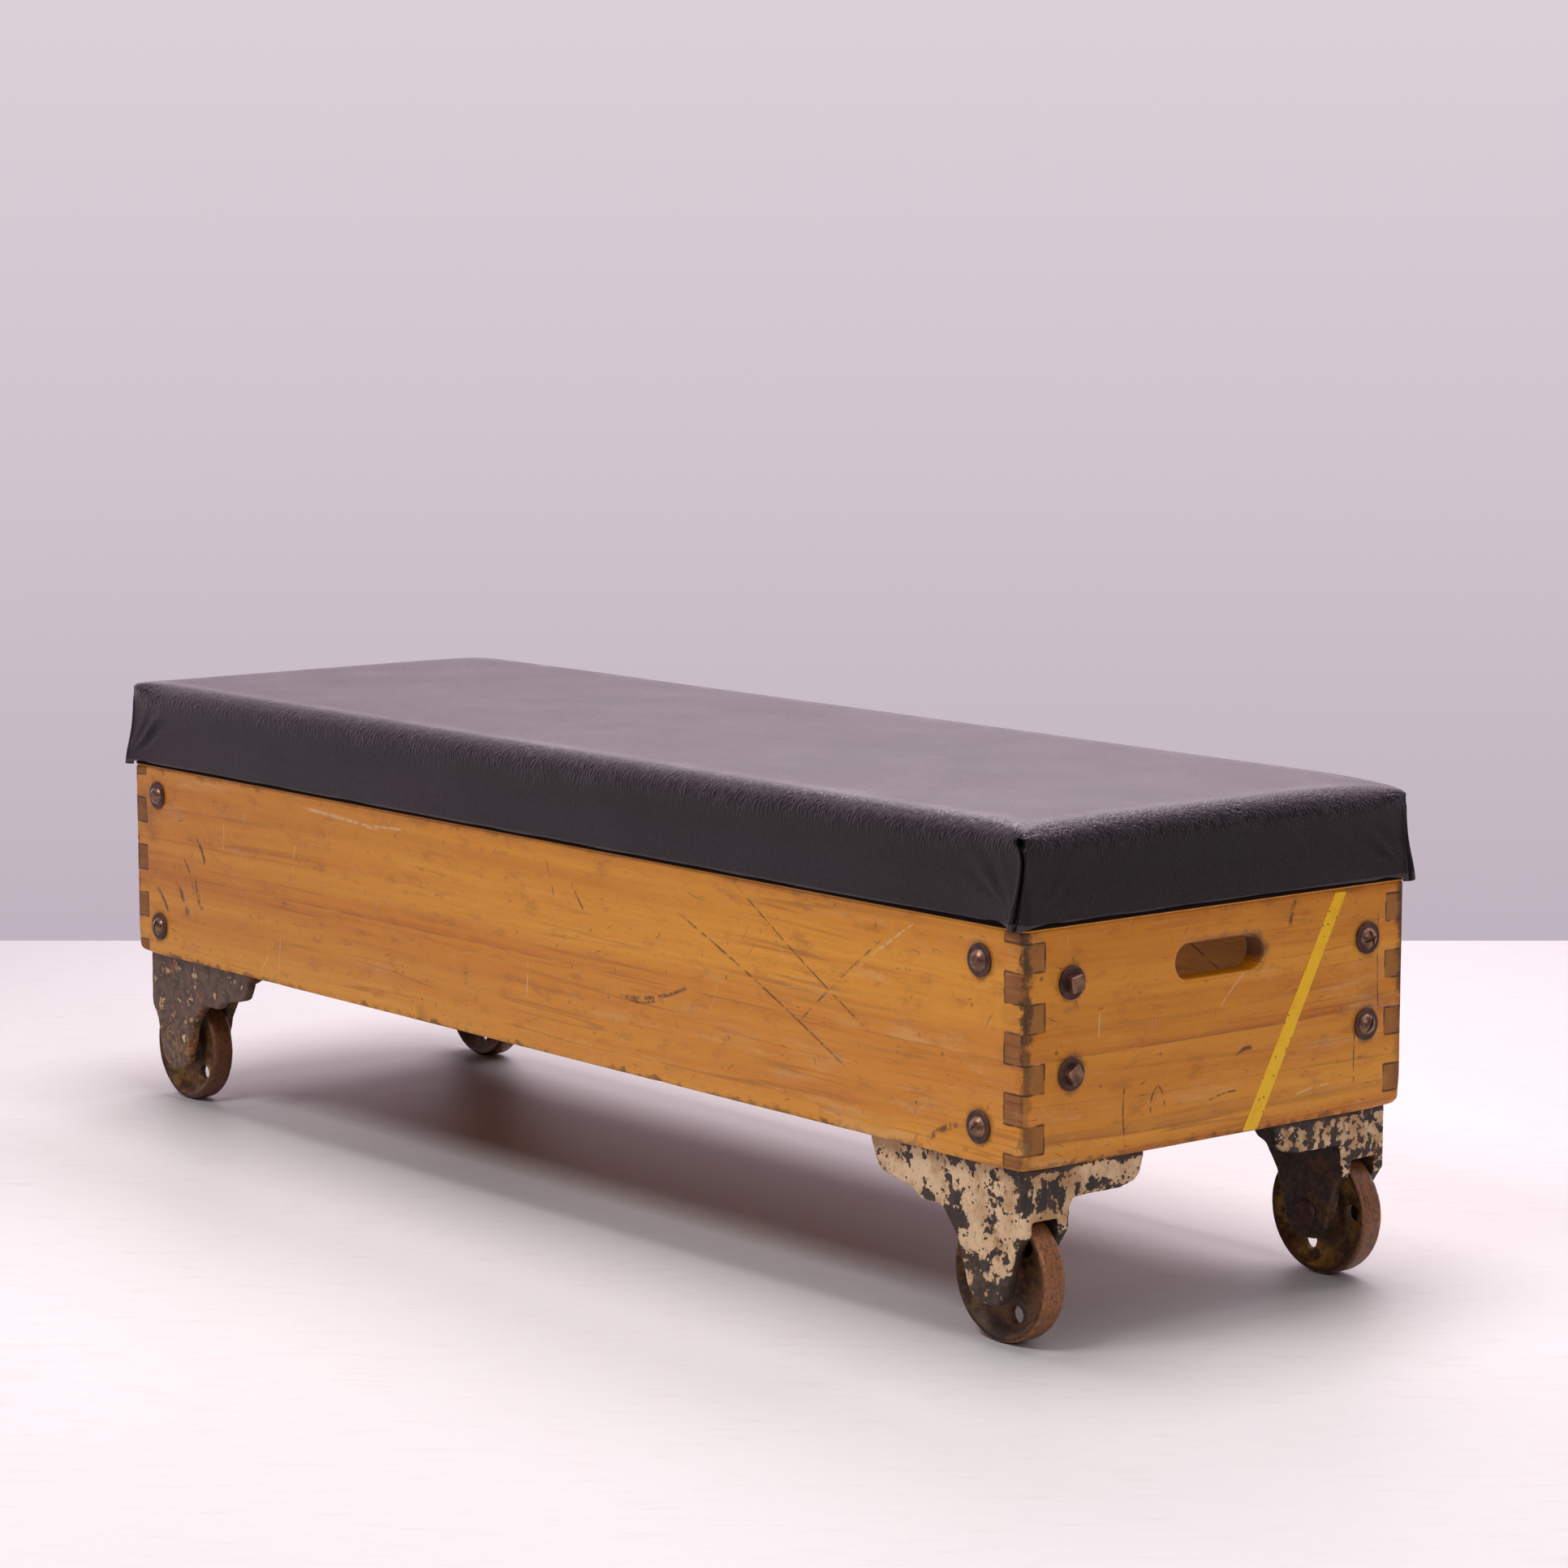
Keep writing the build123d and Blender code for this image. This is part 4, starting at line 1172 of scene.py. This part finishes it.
def plain_nodes():
    """Materials for the CAD nodes that show as they are."""
    dark = linear(38, 24, 22)
    heads = browned_steel("bolt_steel", linear(104, 74, 60), linear(150, 116, 92), dark, 0.75, 0.24)
    rings = browned_steel("washer_steel", linear(66, 42, 40), linear(92, 64, 58), dark, 0.45, 0.42)
    bronze = browned_steel("bush_bronze", linear(110, 82, 48), linear(150, 116, 70), dark, 0.8, 0.36)
    posts = bare_wood("post_wood", linear(168, 128, 82), (60, 60, 4))
    battens = bare_wood("batten_wood", linear(160, 122, 80), (60, 4, 60))
    choice = {
        "corner_post": posts,
        "lid_battens": battens,
        "lid_board": lid_wood(),
        "hub_bush": bronze,
        "front_bolts": heads,
        "rear_bolts": heads,
        "left_end_bolts": heads,
        "right_end_bolts": heads,
    }
    for name, node in frame["nodes"].items():
        if node.hide_render:
            continue
        start = next((key for key in choice if name.startswith(key)), None)
        node.data.materials.clear()
        node.data.materials.append(choice.get(start, rings))


# --- camera, floor, light -------------------------------------------------------------------------
CAMERA_AT = Vector((3.4809, -2.7302, 0.9995))
CAMERA_YAW = -50.894                  # degrees from +Y, towards +X
CAMERA_PITCH = -7.552
LENS = 99.24
FLOOR_END = 1.47                      # how far behind the middle of the box the floor ends


def add_camera():
    data = bpy.data.cameras.new("camera")
    data.lens = LENS
    data.sensor_width = 36
    camera = bpy.data.objects.new("camera", data)
    camera.location = CAMERA_AT
    camera.rotation_euler = (math.radians(90 + CAMERA_PITCH), 0, math.radians(-CAMERA_YAW))
    bpy.context.scene.collection.objects.link(camera)
    bpy.context.scene.camera = camera


def add_floor():
    bm = bmesh.new()
    bmesh.ops.create_grid(bm, x_segments=8, y_segments=8, size=1.0)
    for v in bm.verts:
        v.co.x *= 9
        v.co.y = v.co.y * 5 + (FLOOR_END - 5)
        v.co.z = -0.2 * MM
    floor = new_piece("floor", bm)
    floor.rotation_euler = (0, 0, math.radians(-CAMERA_YAW))
    s = Shader("floor_paint")
    cloud = s.cloud(1.6, 4.0)
    speck = s.cloud(90.0, 3.0)
    color = s.mix(cloud, linear(205, 202, 203), linear(211, 208, 209))
    brushed = s.noise(s.mapped(s.place, scale=(16, 70, 1)), 1.0, 4.0, 0.7)
    color = s.mix(s.times(s.rise(brushed, 0.50, 0.72), 0.25), color, linear(188, 174, 172))
    s.set(Base_Color=color, Roughness=s.plus(0.5, s.times(speck, 0.1)))
    s.set(Normal=s.bump(s.plus(speck, brushed), 0.5 * MM, 0.4))
    floor.data.materials.append(s.material)


def add_light(name, place, aim, size, power, tint):
    data = bpy.data.lights.new(name, "AREA")
    data.shape = "RECTANGLE"
    data.size, data.size_y = size
    data.energy = power
    data.color = tint
    light = bpy.data.objects.new(name, data)
    light.location = place
    light.rotation_euler = (Vector(aim) - Vector(place)).to_track_quat("-Z", "Y").to_euler()
    bpy.context.scene.collection.objects.link(light)


# The surround gives no light, but it is seen in reflections: how bright, away from the backdrop and
# towards it, in which colour, and the level direction from the box to the backdrop.
REFLECTED = (0.25, 2.15)
REFLECTED_TINT = linear(220, 198, 212)
BACKDROP_WAY = (-0.776, 0.631, 0.0)


def add_world():
    """A pale lilac surround, a little darker low down, that gives no light but its reflection."""
    world = bpy.data.worlds.new("surround")
    bpy.context.scene.world = world
    world.use_nodes = True
    tree = world.node_tree

    def add(kind, *inputs, **settings):
        node = tree.nodes.new(kind)
        for key, value in settings.items():
            setattr(node, key, value)
        for socket, value in zip(node.inputs, inputs):
            if isinstance(value, bpy.types.NodeSocket):
                tree.links.new(value, socket)
            else:
                socket.default_value = value
        return node.outputs

    way = add("ShaderNodeTexCoord")["Generated"]
    up = add("ShaderNodeSeparateXYZ", way)["Z"]
    level = add("ShaderNodeMath", up, 0.5, operation="ADD")[0]
    ramp = add("ShaderNodeValToRGB", level)["Color"].node
    stops = ((0.33, (190, 178, 190)), (0.445, (208, 197, 206)), (0.545, (219, 208, 216)))
    while len(ramp.color_ramp.elements) < len(stops):
        ramp.color_ramp.elements.new(0.5)
    for element, (at, colour) in zip(ramp.color_ramp.elements, stops):
        element.position = at
        element.color = linear(*colour)
    towards = add("ShaderNodeVectorMath", way, BACKDROP_WAY, operation="DOT_PRODUCT")["Value"]
    shine = add("ShaderNodeMapRange", towards, -0.1, 0.6, *REFLECTED)[0]
    rays = add("ShaderNodeLightPath")
    reflected = add("ShaderNodeMath", rays["Is Glossy Ray"], shine, operation="MULTIPLY")[0]
    strength = add("ShaderNodeMath", rays["Is Camera Ray"], reflected, operation="MAXIMUM")[0]
    color = add("ShaderNodeMix", rays["Is Camera Ray"], data_type="RGBA")[2].node
    color.inputs[6].default_value = REFLECTED_TINT
    tree.links.new(ramp.outputs["Color"], color.inputs[7])
    background = tree.nodes["Background"]
    tree.links.new(color.outputs[2], background.inputs["Color"])
    tree.links.new(strength, background.inputs["Strength"])


# place of each soft panel, the point it faces, its two sides, its power and its tint
WHITE = (1.0, 0.975, 0.985)
ROSE = (1.0, 0.90, 0.945)
LIGHTS = {
    "above": ((0, 0, 3), (0, 0, 0), (1.3, 1.3), 68, WHITE),
    "above_front": ((0.4, -2.3, 3), (0.4, -2.3, 0), (1.3, 1.3), 64, WHITE),
    "above_back": ((0.2, 2, 3), (0.2, 2, 0), (2.4, 1.6), 46, ROSE),
    "above_right": ((2, 0, 3), (2, 0, 0), (2, 2), 14, WHITE),
    "far_corner": ((-2, 2, 3), (-2, 2, 0), (2, 2), 64, ROSE),
    "right_side": ((4, -1, 2), (0, 0, 0.3), (2, 1.5), 30, WHITE),
}


def add_stage():
    add_camera()
    add_floor()
    add_world()
    for name, (place, aim, size, power, tint) in LIGHTS.items():
        add_light(name, place, aim, size, power, tint)
    bpy.context.scene.view_settings.view_transform = "Standard"


def add_wood():
    long_bolts = [centre for centre in centres("front_washers") if centre[1] < -HALF_W]
    end_bolts = [centre for centre in centres("right_end_washers") if centre[0] > HALF_L]
    long_grain = wood("varnished_long", "X", long_bolts)
    end_grain = wood("varnished_end", "Y", end_bolts)
    for side in ("front", "rear"):
        board(f"{side}_side_board", long_grain)
    for side in ("left", "right"):
        board(f"{side}_end_board", end_grain)
    stripe()


add_stage()
add_wood()
leather_top()
brackets()
wheels()
plain_nodes()
